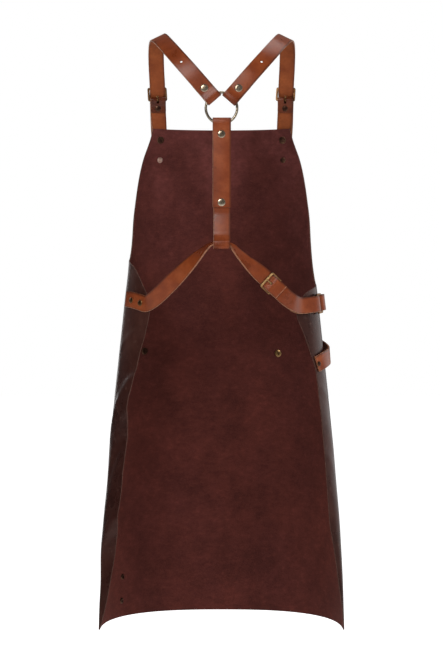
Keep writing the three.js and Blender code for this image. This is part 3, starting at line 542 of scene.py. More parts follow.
def roundEdges(piece, width, segments, fromAngle=30):
    modifier = piece.modifiers.new("rounding", "BEVEL")
    modifier.width = width * mm
    modifier.segments = segments
    modifier.limit_method = "ANGLE"
    modifier.angle_limit = math.radians(fromAngle)
    applyModifiers(piece)


def smoothByAngle(piece, degrees):
    choose(piece)
    bpy.ops.object.shade_smooth_by_angle(angle=math.radians(degrees))


# the panel

panelSheet = {
    "columns": 46,  # on each half
    "rowBands": ((-136, -340, 60), (-340, -450, 62), (-450, -945, 170)),
    "rimBulge": 0.25,
    "creaseRise": (1.56, 1.9),  # creases start at the first angle and are full at the second
    "smooth": 50,
    "flatWidth": 0.647,
    "flatLength": 0.812,
}


def evenAngles(side, z, parts):
    steps, bendWeight = 60, 60
    edge = edgeAngle(side, z)
    points = [formPoint(side, edge * i / steps, z) for i in range(steps + 1)]
    lengths = [0]
    for i in range(1, steps + 1):
        bend = 0
        if i < steps:
            bend = (points[i] - points[i - 1]).angle(points[i + 1] - points[i], 0)
        lengths.append(lengths[-1] + (points[i] - points[i - 1]).length + bendWeight * bend)
    angles, at = [], 0
    for part in range(parts + 1):
        wanted = lengths[-1] * part / parts
        while at < steps - 1 and lengths[at + 1] < wanted:
            at += 1
        share = (wanted - lengths[at]) / (lengths[at + 1] - lengths[at])
        angles.append(edge * (at + share) / steps)
    return angles


def makePanel():
    heights = [panelSheet["rowBands"][0][0]]
    for top, bottom, rows in panelSheet["rowBands"]:
        heights += [top + (bottom - top) * row / rows for row in range(1, rows + 1)]
    half = panelSheet["columns"]
    columns = 2 * half + 1
    skins = {"outer": [], "inner": []}
    for z in heights:
        angles = {side: evenAngles(side, z, half) for side in (-1, 1)}
        for column in range(columns):
            side = -1 if column < half else 1
            angle = angles[side][abs(column - half)]
            crease = foldHeight(side, angle, z, creaseTable, panelSheet["creaseRise"])
            point, face = angleSeat(side, angle, z, crease)
            skins["outer"].append(point)
            skins["inner"].append(point - face * panelWall)
    rows = len(heights)
    points = skins["outer"] + skins["inner"]
    faces, kinds = [], []
    grainSide, fleshSide, cutRim = range(3)

    def quad(corners, kind):
        faces.append(corners)
        kinds.append(kind)

    def at(row, column):
        return row * columns + column

    skin = rows * columns
    for row in range(rows - 1):
        for column in range(columns - 1):
            corners = [at(row, column), at(row + 1, column), at(row + 1, column + 1), at(row, column + 1)]
            quad(corners[::-1], grainSide)
            quad([corner + skin for corner in corners], fleshSide)
    # the cut rim bulges a little between the two skins
    rim = [at(0, column) for column in range(columns)]
    rim += [at(row, columns - 1) for row in range(1, rows)]
    rim += [at(rows - 1, column) for column in range(columns - 2, -1, -1)]
    rim += [at(row, 0) for row in range(rows - 2, 0, -1)]
    count = len(rim)
    bulge = len(points)
    for k, corner in enumerate(rim):
        run = points[rim[(k + 1) % count]] - points[rim[k - 1]]
        wall = points[corner] - points[corner + skin]
        outward = run.cross(wall).normalized()
        middle = (points[corner] + points[corner + skin]) / 2
        points.append(middle - outward * panelSheet["rimBulge"])
    for k in range(count):
        here, there = rim[k], rim[(k + 1) % count]
        middleHere, middleThere = bulge + k, bulge + (k + 1) % count
        quad([here, there, middleThere, middleHere], cutRim)
        quad([middleHere, middleThere, there + skin, here + skin], cutRim)
    panel = meshPiece("panel_sheet", points, faces, kinds, [hide, suede, cutEdge])
    smoothByAngle(panel, panelSheet["smooth"])
    settle(panel, "apron_panel")
    return panel


makePanel()
print("panel made")


# strap lines

class StrapLine:
    # a smooth line through named rows (name, point, face), face being where the grain looks
    def __init__(self, rows):
        perRow, nudge = 16, 1e-4
        points = [row[1] for row in rows]
        last = (len(rows) - 1) * perRow
        self.samples, self.lengths, self.marks = [], [], {}
        length, before = 0, None
        for i in range(last + 1):
            point = self.spline(points, i / last)
            k = min(len(rows) - 2, i // perRow)
            face = rows[k][2].lerp(rows[k + 1][2], i / perRow - k)
            if before is not None:
                length += (point - before).length
            before = point
            ahead = self.spline(points, min(1, i / last + nudge))
            ahead = ahead - self.spline(points, max(0, i / last - nudge))
            self.samples.append((point, face, ahead.normalized()))
            self.lengths.append(length)
            if i % perRow == 0:
                self.marks[rows[i // perRow][0]] = length
        self.length = length

    @staticmethod
    def spline(points, t):
        last = len(points) - 1
        i = min(int(last * t), last - 1)
        w = last * t - i
        p1, p2 = points[i], points[i + 1]
        p0 = points[i - 1] if i > 0 else p1 * 2 - p2
        p3 = points[i + 2] if i + 2 <= last else p2 * 2 - p1
        d0, d1, d2 = (math.sqrt((b - a).length) or 1 for a, b in ((p0, p1), (p1, p2), (p2, p3)))
        m1 = ((p1 - p0) / d0 - (p2 - p0) / (d0 + d1) + (p2 - p1) / d1) * d1
        m2 = ((p2 - p1) / d1 - (p3 - p1) / (d1 + d2) + (p3 - p2) / d2) * d1
        return p1 + m1 * w + (p2 * 3 - p1 * 3 - m1 * 2 - m2) * w * w + (p1 * 2 - p2 * 2 + m1 + m2) * w ** 3

    def at(self, s):
        i = min(max(bisect.bisect_right(self.lengths, s) - 1, 0), len(self.lengths) - 2)
        share = (s - self.lengths[i]) / (self.lengths[i + 1] - self.lengths[i])
        inside = min(1, max(0, share))
        (point0, face0, along0), (point1, face1, along1) = self.samples[i], self.samples[i + 1]
        along = along0.lerp(along1, inside).normalized()
        face = face0.lerp(face1, inside)
        face = (face - along * face.dot(along)).normalized()
        return {"point": point0 + (point1 - point0) * share, "along": along, "face": face,
                "across": along.cross(face)}

    def off(self, s, n):
        here = self.at(s)
        return here["point"] + here["face"] * n

    def near(self, x, z):
        def away(i):
            point = self.samples[i][0]
            return math.hypot(point.x - x, point.z - z)
        return self.lengths[min(range(len(self.samples)), key=away)]


def sided(side, values):
    return Vector((side * values[0], *values[1:]))


# rows in the air, mirrored where the side is -1
def freeRows(rows, side=1):
    return [(name, sided(side, place), sided(side, face).normalized()) for name, place, face in rows]


def seatedRows(side, lift, places):
    return [(name, *panelSeat(side, reach, z, lift)) for name, reach, z in places]


def straightRows(point, along, face, places):
    step = along.normalized()
    return [(name, point + step * at, face) for name, at in places]


# half a turn round a bar, as places [s, n] along and off the line
def halfTurn(s, n, radius, towards, startSide):
    steps = 12
    turns = [math.pi * i / steps for i in range(steps + 1)]
    return [[s + towards * radius * math.sin(a), n + startSide * radius * math.cos(a)] for a in turns]


def foldedEnd(s, towards, joinAt, endAt):
    return [
        *halfTurn(s, -barOffset, barOffset, towards, 1),
        [s - towards * brassware["pastBar"], -2 * barOffset],
        [s - towards * joinAt, -layer],
        [s - towards * endAt, -layer],
    ]


# the fold round the ring; its inner layer ends at the lap's end
ringFold = {"lapEnd": 57, "together": 34, "apart": 25.5}


def ringEnd(width):
    clear = brassware["ringWire"] / 2 + gap
    edgeWire = math.sqrt(ringRadius ** 2 - (width / 2) ** 2)
    wireReach = brassware["ringWire"] / 2 * ringRadius / edgeWire
    fold = edgeWire - wireReach - gap + clear
    radius = clear + halfWall
    half = layer / 2
    return [
        [ringFold["lapEnd"], -half],
        [ringFold["together"], -half],
        [ringFold["apart"], -radius],
        *halfTurn(fold, 0, radius, -1, -1),
        [ringFold["apart"], radius],
        [ringFold["together"], half],
    ]


# a line through corners (s, n, bend) that are rounded with their own bends
def bentLine(corners):
    turnStep = 0.15
    points = [Vector(corner[:2]) for corner in corners]
    line = [list(points[0])]
    for i in range(1, len(points) - 1):
        back = (points[i - 1] - points[i]).normalized()
        ahead = (points[i + 1] - points[i]).normalized()
        half = math.acos(min(1, max(-1, back.dot(ahead)))) / 2
        bend = corners[i][2]
        centre = (back + ahead).normalized() * (bend / math.sin(half)) + points[i]
        arm = points[i] + back * (bend / math.tan(half)) - centre
        cross = back.x * ahead.y - back.y * ahead.x
        turn = -(math.pi - 2 * half) * (1 if cross > 0 else -1)
        steps = max(3, math.ceil(abs(turn) / turnStep))
        for step in range(steps + 1):
            a = turn * step / steps
            line.append(list(Matrix.Rotation(a, 2) @ arm + centre))
    line.append(list(points[-1]))
    return line


# straps

strapSection = {
    "station": 3.5,
    "endClear": 0.5,  # no plain station is this near a rounded end
    "slopeStep": 0.6,
    "cornerSteps": 3,
    "tipSteps": 9,
    "tipKeep": 0.96,
    "tipRub": 1.1,
    "endRound": 0.8,  # the last of a strap thins by the share below
    "endThin": 0.35,
    "narrowest": 0.1,
    "smooth": 38,
    "holeSides": 20,
    "holeDepth": 9,
}


# outline of a strap's section with rounded edges, as (side, inset from the side, height)
def sectionOutline():
    r = leather["burnishedEdge"]
    steps = strapSection["cornerSteps"]
    turns = [math.pi / 2 * i / steps for i in range(steps + 1)]
    outline = [(1, -r * (1 - math.sin(a)), halfWall - r * (1 - math.cos(a))) for a in turns]
    outline += [(1, -r * (1 - math.cos(a)), -halfWall + r * (1 - math.sin(a))) for a in turns]
    return outline + [(-side, -inset, height) for side, inset, height in reversed(outline)]


# a strap along its line; its free tip can be rubbed pale like the edges
def makeStrap(node, line, places, width, corners, form="strip", grainUp=True, grainFinish=strapGrain,
              tipRub=0, holes=(), slots=()):
    path = [places[0]]
    for (s0, n0), (s1, n1) in zip(places, places[1:]):
        parts = max(1, math.ceil(math.hypot(s1 - s0, n1 - n0) / strapSection["station"]))
        path += [[s0 + (s1 - s0) * k / parts, n0 + (n1 - n0) * k / parts] for k in range(1, parts + 1)]
    lengths = [0]
    for (s0, n0), (s1, n1) in zip(path, path[1:]):
        lengths.append(lengths[-1] + math.hypot(s1 - s0, n1 - n0))
    total = lengths[-1]
    startCorner, endCorner = corners
    clear, tip = strapSection["endClear"], strapSection["tipSteps"]
    stations = [d for d in lengths if startCorner + clear < d < total - endCorner - clear]
    for step in range(tip + 1):
        share = 1 - math.cos(math.pi / 2 * step / tip)
        stations += [startCorner * share, total - endCorner * share]
    stations = sorted({round(d, 4) for d in stations})

    def placeAt(d):
        i = min(max(bisect.bisect_left(lengths, d), 1), len(path) - 1)
        share = (d - lengths[i - 1]) / (lengths[i] - lengths[i - 1])
        return [path[i - 1][k] + (path[i][k] - path[i - 1][k]) * share for k in (0, 1)]

    def cut(corner, away):
        inside = min(corner, max(0, corner - away))
        return corner - math.sqrt(corner ** 2 - inside ** 2)

    outline = sectionOutline()
    ring = len(outline)
    step = strapSection["slopeStep"]
    points, marks = [], []
    for d in stations:
        s, n = placeAt(d)
        (s0, n0), (s1, n1) = placeAt(max(0, d - step)), placeAt(min(total, d + step))
        run = math.hypot(s1 - s0, n1 - n0)
        ds, dn = (s1 - s0) / run, (n1 - n0) / run
        half = width / 2 - strapSection["tipKeep"] * (cut(startCorner, d) + cut(endCorner, total - d))
        # the two ends are rounded over like the edges
        fromEnd = min(d, total - d)
        thin = 1 - strapSection["endThin"] * max(0, 1 - fromEnd / strapSection["endRound"]) ** 2
        across = line.at(s)["across"]
        for side, inset, height in outline:
            reach = max(strapSection["narrowest"], half + inset)
            point = line.off(s - dn * height * thin, n + ds * height * thin)
            points.append(point + across * (side * reach))
            marks.append((d * mm, side * reach / width + 0.5))
    # faces with the numbers of their finishes
    faces, kinds = [], []
    grain, flesh, edge = range(3)
    upper, lower = (grain, flesh) if grainUp else (flesh, grain)
    flat = {ring - 1: upper, 2 * strapSection["cornerSteps"] + 1: lower}
    for station in range(len(stations) - 1):
        middle = (stations[station] + stations[station + 1]) / 2
        rubbed = min(middle, total - middle) < tipRub
        for k in range(ring):
            a, b = station * ring + k, station * ring + (k + 1) % ring
            faces.append([a, a + ring, b + ring, b])
            kinds.append(edge if rubbed else flat.get(k, edge))
    faces += [list(range(ring)), [len(points) - 1 - k for k in range(ring)]]
    kinds += [edge, edge]
    piece = meshPiece(f"{node}_{form}", points, faces, kinds, [grainFinish, strapFlesh, strapEdge])
    uv = piece.data.uv_layers.new(name="strapMap")
    for loop in piece.data.loops:
        uv.data[loop.index].uv = marks[loop.vertex_index]
    settle(piece, node)
    punch(piece, holes, slots, edge)
    smoothByAngle(piece, strapSection["smooth"])


# holes (point, face, radius) and slots (matrix, size) through a strap
def punch(piece, holes, slots, finish):
    cutters = []
    for point, face, radius in holes:
        bpy.ops.mesh.primitive_cylinder_add(
            vertices=strapSection["holeSides"], radius=radius * mm, depth=strapSection["holeDepth"] * mm)
        cutters.append((bpy.context.object, placeMatrix(*squareTo(face), face, point)))
    for matrix, size in slots:
        bpy.ops.mesh.primitive_cube_add(size=1)
        bpy.context.object.data.transform(Matrix.Diagonal((*(value * mm for value in size), 1)))
        cutters.append((bpy.context.object, matrix))
    if not cutters:
        return
    for cutter, matrix in cutters:
        cutter.data.transform(matrix)
        for material in piece.data.materials:
            cutter.data.materials.append(material)
        for face in cutter.data.polygons:
            face.material_index = finish
    cutWith(piece, joinPieces([cutter for cutter, matrix in cutters]))


# rivets

rivetShape = {
    "sides": 28,
    "shankSides": 16,
    "domeRise": 0.95,
    "rimDrop": 0.72,
    "dome": ((0.1, 0.3), (0.16, 0.22), (0.2, 0.14), (0.24, 0.06)),  # insets and lifts from the rim in
    "dish": 0.5,
    "smooth": 40,
}


# one rivet with a domed cap at each end; the inner cap may be dished like a tubular rivet's
def makeRivet(node, place, low, high, capRadius, finish=bronze, dished=False):
    face = place["face"]
    middle = place["point"] + face * ((low + high) / 2)
    half = (high - low) / 2 + gap
    cap = brassware["capHeight"]
    rise = cap * rivetShape["domeRise"] * mm
    parts = []
    for way in (1, -1):
        bpy.ops.mesh.primitive_cylinder_add(
            vertices=rivetShape["sides"],
            radius=capRadius * mm,
            depth=cap * mm,
            location=(0, 0, (half + cap / 2) * mm),
        )
        part = bpy.context.object
        top = max(part.data.polygons, key=lambda polygon: polygon.center.z).index
        editOnly(part, "FACE", lambda polygon: polygon.index == top)
        raiseSelected(-rivetShape["rimDrop"] * rise)
        for inset, lift in rivetShape["dome"]:
            bpy.ops.mesh.inset(thickness=inset * capRadius * mm)
            raiseSelected(lift * rise)
        if dished and way < 0:
            raiseSelected(-rivetShape["dish"] * cap * mm)
        objectMode()
        part.data.transform(part.matrix_basis)
        part.matrix_basis = Matrix.Identity(4)
        if way < 0:
            part.data.transform(Matrix.Rotation(math.pi, 4, "X"))
        parts.append(part)
    bpy.ops.mesh.primitive_cylinder_add(
        vertices=rivetShape["shankSides"], radius=brassware["shank"] * mm, depth=2 * half * mm)
    piece = joinPieces([*parts, bpy.context.object])
    piece.name = f"{node}_caps"
    piece.data.materials.clear()
    piece.data.materials.append(finish)
    piece.data.transform(placeMatrix(*squareTo(face), face, middle))
    smoothByAngle(piece, rivetShape["smooth"])
    settle(piece, node)


# buckles, ring and side loop

frameShape = {
    "corners": ((True, 2.8, 5), (False, 1.3, 3)),  # whether outer, rounding, segments
    "roundBar": 1.15,
    "barSegments": 4,
    "sharpEdge": 50,
    "smooth": 45,
}
tongueShape = {
    "blade": 1.7,
    "past": 2.6,
    "tipNarrow": 0.62,
    "wire": 0.75,
    "eyeSegments": (28, 10),
    "rounding": (0.5, 3),  # width, segments
    "slot": (2, 2.6, 0.7),  # past the frame, high, wider than the tongue
    "slotRise": 0.95,
    "foldSlot": (13, 13, 1),  # long, high, wider than the tongue
}
tiny = 1e-6  # metres


# a strap's places from over the heel bar to under the front bar
buckled = {"overHeel": 3, "heelRise": 0.5, "beforeFront": 4, "pastFront": 6, "underFront": -0.2}


def throughBuckle(heel, frontBar, towards):
    return [
        [heel + towards * buckled["overHeel"], layer + buckled["heelRise"]],
        [frontBar - towards * buckled["beforeFront"], buckled["underFront"]],
        [frontBar + towards * buckled["pastFront"], buckled["underFront"]],
    ]


def buckleSeat(line, s, towards):
    heel = line.off(s, -barOffset)
    front = line.off(s + towards * barReach, barOffset)
    along = (front - heel).normalized()
    across = line.at(s + towards * barReach / 2)["across"]
    across = (across - along * across.dot(along)).normalized()
    face = across.cross(along)
    if face.dot(line.at(s)["face"]) < 0:
        face, across = -face, -across
    return {"heel": heel, "middle": (heel + front) / 2, "along": along, "across": across, "face": face}


def selectUprights(piece, halfWidth, outer):
    def wanted(edge):
        low, high = (piece.data.vertices[k].co for k in edge.vertices)
        upright = (low - high).to_2d().length < tiny
        return upright and (abs(low.x) > halfWidth - 10 * tiny) == outer
    editOnly(piece, "EDGE", wanted)


def makeFrame(node, width, length, seat, sideBar=bar, frontFinish=darkBrassAndShade):
    clearSelection()
    bpy.ops.mesh.primitive_plane_add(size=1)
    piece = bpy.context.object
    piece.name = f"{node}_bars"
    piece.data.transform(Matrix.Diagonal((width * mm, length * mm, 1, 1)))
    editMode()
    bpy.ops.mesh.select_all(action="SELECT")
    bpy.ops.mesh.inset(thickness=bar / 2 * mm)
    opening = ((width - 2 * sideBar) / (width - bar), (length - 2 * bar) / (length - bar), 1)
    bpy.ops.transform.resize(value=opening, center_override=(0, 0, 0))
    bpy.ops.mesh.delete(type="FACE")
    bpy.ops.mesh.select_all(action="SELECT")
    bpy.ops.mesh.extrude_region_move(TRANSFORM_OT_translate={"value": (0, 0, bar * mm)})
    bpy.ops.mesh.select_all(action="SELECT")
    raiseSelected(-bar / 2 * mm)
    bpy.ops.mesh.normals_make_consistent(inside=False)
    for outer, corner, segments in frameShape["corners"]:
        selectUprights(piece, width / 2 * mm, outer)
        bpy.ops.mesh.bevel(offset=corner * mm, segments=segments, affect="EDGES")
    objectMode()
    roundEdges(piece, frameShape["roundBar"], frameShape["barSegments"], frameShape["sharpEdge"])
    # the side bars take the dark brass, whose darkness is painted shade; the front bar takes the given finish
    piece.data.materials.append(frontFinish)
    piece.data.materials.append(darkBrassAndShade)
    for face in piece.data.polygons:
        onSide = abs(face.center.x) > (width / 2 - sideBar) * mm
        face.material_index = int(onSide and abs(face.center.y) < (length / 2 - bar) * mm)
    piece.data.transform(placeMatrix(seat["across"], seat["along"], seat["face"], seat["middle"]))
    smoothByAngle(piece, frameShape["smooth"])
    settle(piece, node)


def tongueAxes(seat):
    return seat["along"], seat["face"], seat["along"].cross(seat["face"])


def makeTongue(node, seat, finish=darkBrassAndShade):
    rest = bar / 2 + gap
    wire, thick, wide = tongueShape["wire"], tongueShape["blade"], tongueWidth
    around, across = tongueShape["eyeSegments"]
    bpy.ops.mesh.primitive_torus_add(
        major_radius=(rest + wire) * mm, minor_radius=wire * mm, major_segments=around, minor_segments=across)
    eye = bpy.context.object
    eye.data.transform(Matrix.Diagonal((1, 1, wide / (2 * wire), 1)))
    bpy.ops.mesh.primitive_cube_add(size=1)
    blade = bpy.context.object
    length = frameLength - bar + tongueShape["past"]
    size = Matrix.Diagonal((length * mm, thick * mm, wide * mm, 1))
    blade.data.transform(Matrix.Translation(Vector((length / 2, rest + thick / 2, 0)) * mm) @ size)
    editOnly(blade, "VERT", lambda vertex: vertex.co.x > length / 2 * mm)
    narrow = tongueShape["tipNarrow"]
    bpy.ops.transform.resize(value=(1, narrow, narrow), center_override=(length * mm, rest * mm, 0))
    objectMode()
    roundEdges(blade, *tongueShape["rounding"])
    piece = joinPieces([eye, blade])
    piece.name = f"{node}_prong"
    piece.data.transform(placeMatrix(*tongueAxes(seat), seat["heel"]))
    piece.data.materials.append(finish)
    smoothByAngle(piece, frameShape["smooth"])
    settle(piece, node)


# the slot that a tongue needs in the strap it holds, and in the fold that carries it
def tongueSlots(seat):
    past, high, wider = tongueShape["slot"]
    length = frameLength + past
    rise = bar / 2 + gap + tongueShape["slotRise"]
    point = seat["heel"] + seat["along"] * ((length - past) / 2) + seat["face"] * rise
    strapSlot = (placeMatrix(*tongueAxes(seat), point), (length, high, tongueWidth + wider))
    long, high, wider = tongueShape["foldSlot"]
    return strapSlot, (placeMatrix(*tongueAxes(seat), seat["heel"]), (long, high, tongueWidth + wider))


ringShape = {"centre": Vector((0, -104, -124)), "segments": (120, 24), "seam": 0.93, "smooth": 60}


def makeRing():
    around, across = ringShape["segments"]
    radius = ringRadius * mm
    bpy.ops.mesh.primitive_torus_add(
        major_radius=radius,
        minor_radius=brassware["ringWire"] / 2 * mm,
        major_segments=around,
        minor_segments=across,
    )
    ring = bpy.context.object
    ring.name = "back_ring_wire"
    # a shallow welded seam at the side
    editOnly(ring, "VERT", lambda vertex: abs(vertex.co.y) < tiny and vertex.co.x > 0)
    seam = ringShape["seam"]
    bpy.ops.transform.resize(value=(1, seam, seam), center_override=(radius, 0, 0))
    objectMode()
    turned = Matrix.Rotation(math.pi / 2, 4, "X")
    ring.data.transform(Matrix.Translation(ringShape["centre"] * mm) @ turned)
    ring.data.materials.append(paleBrass)
    smoothByAngle(ring, ringShape["smooth"])
    settle(ring, "back_ring")


# shoulder straps, chest tabs and chest buckles

chest = {
    "bibPlaces": (
        ("tip", 104, -236),
        ("aboveTip", 104, -220),
        ("tabLow", 104, -204),
        ("lowRivet", 104, -187),
        ("tabMiddle", 103.3, -170),
        ("highRivet", 103, -154),
        ("bibTop", 103.7, -139),
    ),
    "buckleRows": (
        ("tabEnd", -24),
        ("belowHeel", -9),
        ("heel", 0),
        ("bars", 10),
        ("front", 20),
        ("aboveFront", 28),
    ),
    "shoulderRows": (
        ("frontShoulder", (108.6, 55, -37), (0, 0.9, 0.42)),
        ("crestFront", (108.4, 32, -10), (0.3, 0.55, 0.78)),
        ("crest", (106, 0, 1.4), (0.45, 0.04, 0.88)),
        ("crestBack", (100.5, -34, -2.5), (0.4, -0.3, 0.86)),
        ("rearShoulder", (90, -66, -17), (0.26, -0.68, 0.68)),
        ("blade", (73, -90, -39), (0.08, -0.93, 0.35)),
        ("upperBack", (52, -102, -64), (0, -1, 0.1)),
        ("lowerBack", (27, -104, -92.8), (0, -1, 0)),
        ("ring", ringShape["centre"], (0, -1, 0)),
    ),
    "buckleSeat": (106.8, 66.5, -88),
    "buckleAlong": (0.03, -0.13, 0.99),
    "buckleFace": (0.12, 0.985, 0.125),
    "rivets": (("upper", 102, -154, "large"), ("lower", 104.5, -187, "medium")),
    "seeThrough": (63, -51),
    "beltHoles": 4,
    "firstHole": 22,
    "holePitch": 20,
    "corners": (strapWidth / 2, 3),
    "freeEnd": 9,
    "tabFold": (9, 21),
    "tabRivet": 14,
    "liftEnd": 70,
    "ringRivet": 41,
}


def shoulderLine(side):
    onBib = [(name, frontReach(x, z), z) for name, x, z in chest["bibPlaces"]]
    seat, along, face = (sided(side, chest[key]) for key in ("buckleSeat", "buckleAlong", "buckleFace"))
    return StrapLine([
        *seatedRows(side, tabLift, onBib),
        *straightRows(seat, along, face, chest["buckleRows"]),
        *freeRows(chest["shoulderRows"], side),
    ])


def makeShoulder(side, word):
    line = shoulderLine(side)
    marks = line.marks
    heel = marks["heel"]
    seat = buckleSeat(line, heel, 1)
    strapSlot, foldSlot = tongueSlots(seat)
    corners = chest["corners"]
    tabPlaces = [[marks["tabLow"], 0], *foldedEnd(heel, 1, *chest["tabFold"])]
    looks = {"grainFinish": tabGrain, "slots": [foldSlot]}
    makeStrap(f"chest_tab_{word}", line, tabPlaces, strapWidth, corners, **looks)
    place = line.at(heel - chest["tabRivet"])
    makeRivet(f"chest_tab_rivet_{word}", place, -layer - halfWall, halfWall, rivetCap["medium"], dullBronze)
    for name, x, z, size in chest["rivets"]:
        place = line.at(line.near(side * x, z))
        # the left lower rivet takes the pale copper, a painted highlight; the other bib rivets are dull
        # bronze
        finish = copperWithHighlight if name == "lower" and side < 0 else dullBronze
        makeRivet(f"bib_rivet_{name}_{word}", place, underPanel, halfWall, rivetCap[size], finish)
    # the chest buckle frames take the dark brass, which paints their shade
    makeFrame(f"chest_buckle_frame_{word}", frameWidth, frameLength, seat)
    makeTongue(f"chest_buckle_tongue_{word}", seat)

    end = line.length
    free = capOver + gap
    strapPlaces = [
        [marks["tip"], free],
        [heel - chest["freeEnd"], free],
        *throughBuckle(heel, heel + barReach, 1),
        [end - chest["liftEnd"], layer / 2],
        *([end - s, n] for s, n in reversed(ringEnd(strapWidth))),
    ]
    hole = brassware["beltHole"]
    through = line.at(line.near(side * chest["seeThrough"][0], chest["seeThrough"][1]))
    holes = [(through["point"], through["face"], hole)]
    for count in range(chest["beltHoles"]):
        s = marks["tip"] + chest["firstHole"] + count * chest["holePitch"]
        holes.append((line.off(s, free), line.at(s)["face"], hole))
    cuts = {"holes": holes, "slots": [strapSlot]}
    makeStrap(f"shoulder_strap_{word}", line, strapPlaces, strapWidth, corners, **cuts)
    doubled = layer / 2 + halfWall
    ringRivet = line.at(end - chest["ringRivet"])
    makeRivet(f"shoulder_rivet_{word}", ringRivet, -doubled, doubled, rivetCap["large"])


makeRing()
for side, word in ((-1, "left"), (1, "right")):
    makeShoulder(side, word)
print("shoulder straps made")


# back strap and the folded loop at its lower end

back = {
    "hang": (Vector((0, 0, -1)), Vector((0, -1, 0))),  # along and face
    "rows": (("ring", 0), ("middle", 80), ("end", 240)),
    "end": 156,
    "corners": (3, 1.5),
    "loopCorners": (1, 1),
    "rivets": (("back_rivet_upper", 41, 2), ("back_rivet_lower", 148, 3)),
    "loop": (
        (136, -layer / 2),
        (165, -layer / 2, 40),
        (199, 3, 20),
        (210, 9, 3.5),
        (220.7, 9.3, 3),
        (214.1, -23, 4),
        (165, -1.5 * layer, 40),
        (136, -1.5 * layer),
    ),
}


def makeBack():
    line = StrapLine(straightRows(ringShape["centre"], *back["hang"], back["rows"]))
    width = leather["backStrapWidth"]
    makeStrap("back_strap", line, [*ringEnd(width), [back["end"], layer / 2]], width, back["corners"])
    top = layer / 2 + halfWall
    for node, s, layers in back["rivets"]:
        low = top - (layers - 1) * layer - strapWall
        makeRivet(node, line.at(s), low, top, rivetCap["large"])
    makeStrap("waist_loop", line, bentLine(back["loop"]), leather["loopWidth"], back["loopCorners"])


makeBack()
print("back strap made")


# waist strap, waist buckle, side strap, side loop and side tab

sideLift = 2 * barOffset + halfWall + brassware["bandClear"]
tabSeat = layer + tabLift
waist = {
    "leftPlaces": (
        ("leftEnd", 1.03, -422.5),
        ("leftStart", 1.06, -423),
        ("leftOuter", 1.093, -424.2),
        ("leftBetween", 1.14, -426.3),
        ("leftInner", 1.188, -428.7),
        ("leftRim", 1.235, -431),
    ),
    "backRows": (
        ("leftTurn", (-106, -73, -422.5), (-0.3, -0.94, -0.14)),
        ("leftBack", (-80, -89.5, -398.6), (-0.12, -0.99, 0)),
        ("leftTwist", (-57, -96.5, -376), (-0.37, -0.84, 0.4)),
        ("leftNear", (-38, -99, -356.2), (-0.55, -0.58, 0.59)),
        ("leftDrop", (-27.5, -99.3, -345.8), (-0.63, -0.36, 0.68)),
        ("leftLoop", (-17, -98.9, -337.4), (-0.5, -0.22, 0.84)),
        ("loop", (0, -98.4, -334.6), (0, -0.2, 0.98)),
        ("rightLoop", (15, -98.6, -337.9), (0.4, -0.2, 0.89)),
        ("rightDrop", (24, -99.2, -348), (0.64, -0.42, 0.65)),
        ("rightNear", (40, -99, -364.9), (0.52, -0.68, 0.52)),
    ),
    "turnRows": (("rightTurn", (113, -80.5, -428.5), (0.42, -0.9, 0)),),
    "rightPlaces": (("rightEdge", 1.225, -434), ("rightWrap", 1.13, -432.5)),
    "tabPlaces": (
        ("tabRear", 85, -427, 5.5),
        ("tabSeated", 80.6, -426.5, tabSeat),
        ("tabMiddle", 75.2, -426, tabSeat),
        ("tabFront", 70, -425.5, tabSeat),
        ("tabTip", 64.8, -425, tabSeat),
    ),
    "buckleRows": (
        ("beforeFront", -9),
        ("frontBar", 0),
        ("waistBars", 9),
        ("heelBar", barReach),
        ("underTip", 31.5),
        ("afterTip", 40),
    ),
    "loopRows": (
        ("beforeLoop", -14),
        ("loopRear", (bar - brassware["sideLoopLength"]) / 2),
        ("loopMiddle", 0),
        ("loopFront", (brassware["sideLoopLength"] - bar) / 2),
        ("afterLoop", 14),
    ),
    "buckleSeat": Vector((70.5, -93.6, -392.2)),
    "buckleAlong": Vector((0.73, 0.12, -0.672)),
    "buckleFace": Vector((0.1, -0.99, -0.05)),
    "rivets": (("waist_rivet_outer", "leftOuter"), ("waist_rivet_inner", "leftInner")),
    "loopSeat": (1.034, -429.5),
    "behindLoop": (1.037, -429.65),
    "aheadOfLoop": (1.031, -429.35),
    "tipStart": (3, 0.2),
    "corners": (3, 1.5),
    "bandCorners": (1.5, 1.5),
    "lap": {"half": 9, "ramp": 14, "rampLayers": 1.4, "beforeLoop": 3, "joined": 10, "outerEnd": 7},
    "tabCorners": (4, 4),
    "tabFold": 11,
    "tabRivets": (("side_tab_rivet_rear", 30), ("side_tab_rivet_front", 10)),
}


def waistLine():
    loopSeat, loopFace = panelSeat(1, *waist["loopSeat"], sideLift)
    ahead = panelSeat(1, *waist["aheadOfLoop"], sideLift)[0] - panelSeat(1, *waist["behindLoop"], sideLift)[0]
    tabRows = [
        (name, *angleSeat(1, math.radians(angle), z, lift)) for name, angle, z, lift in waist["tabPlaces"]]
    return StrapLine([
        *seatedRows(-1, tabLift, waist["leftPlaces"]),
        *freeRows(waist["backRows"]),
        *straightRows(waist["buckleSeat"], waist["buckleAlong"], waist["buckleFace"], waist["buckleRows"]),
        *freeRows(waist["turnRows"]),
        *seatedRows(1, sideLift, waist["rightPlaces"]),
        *straightRows(loopSeat, ahead, loopFace, waist["loopRows"]),
        *tabRows,
    ])


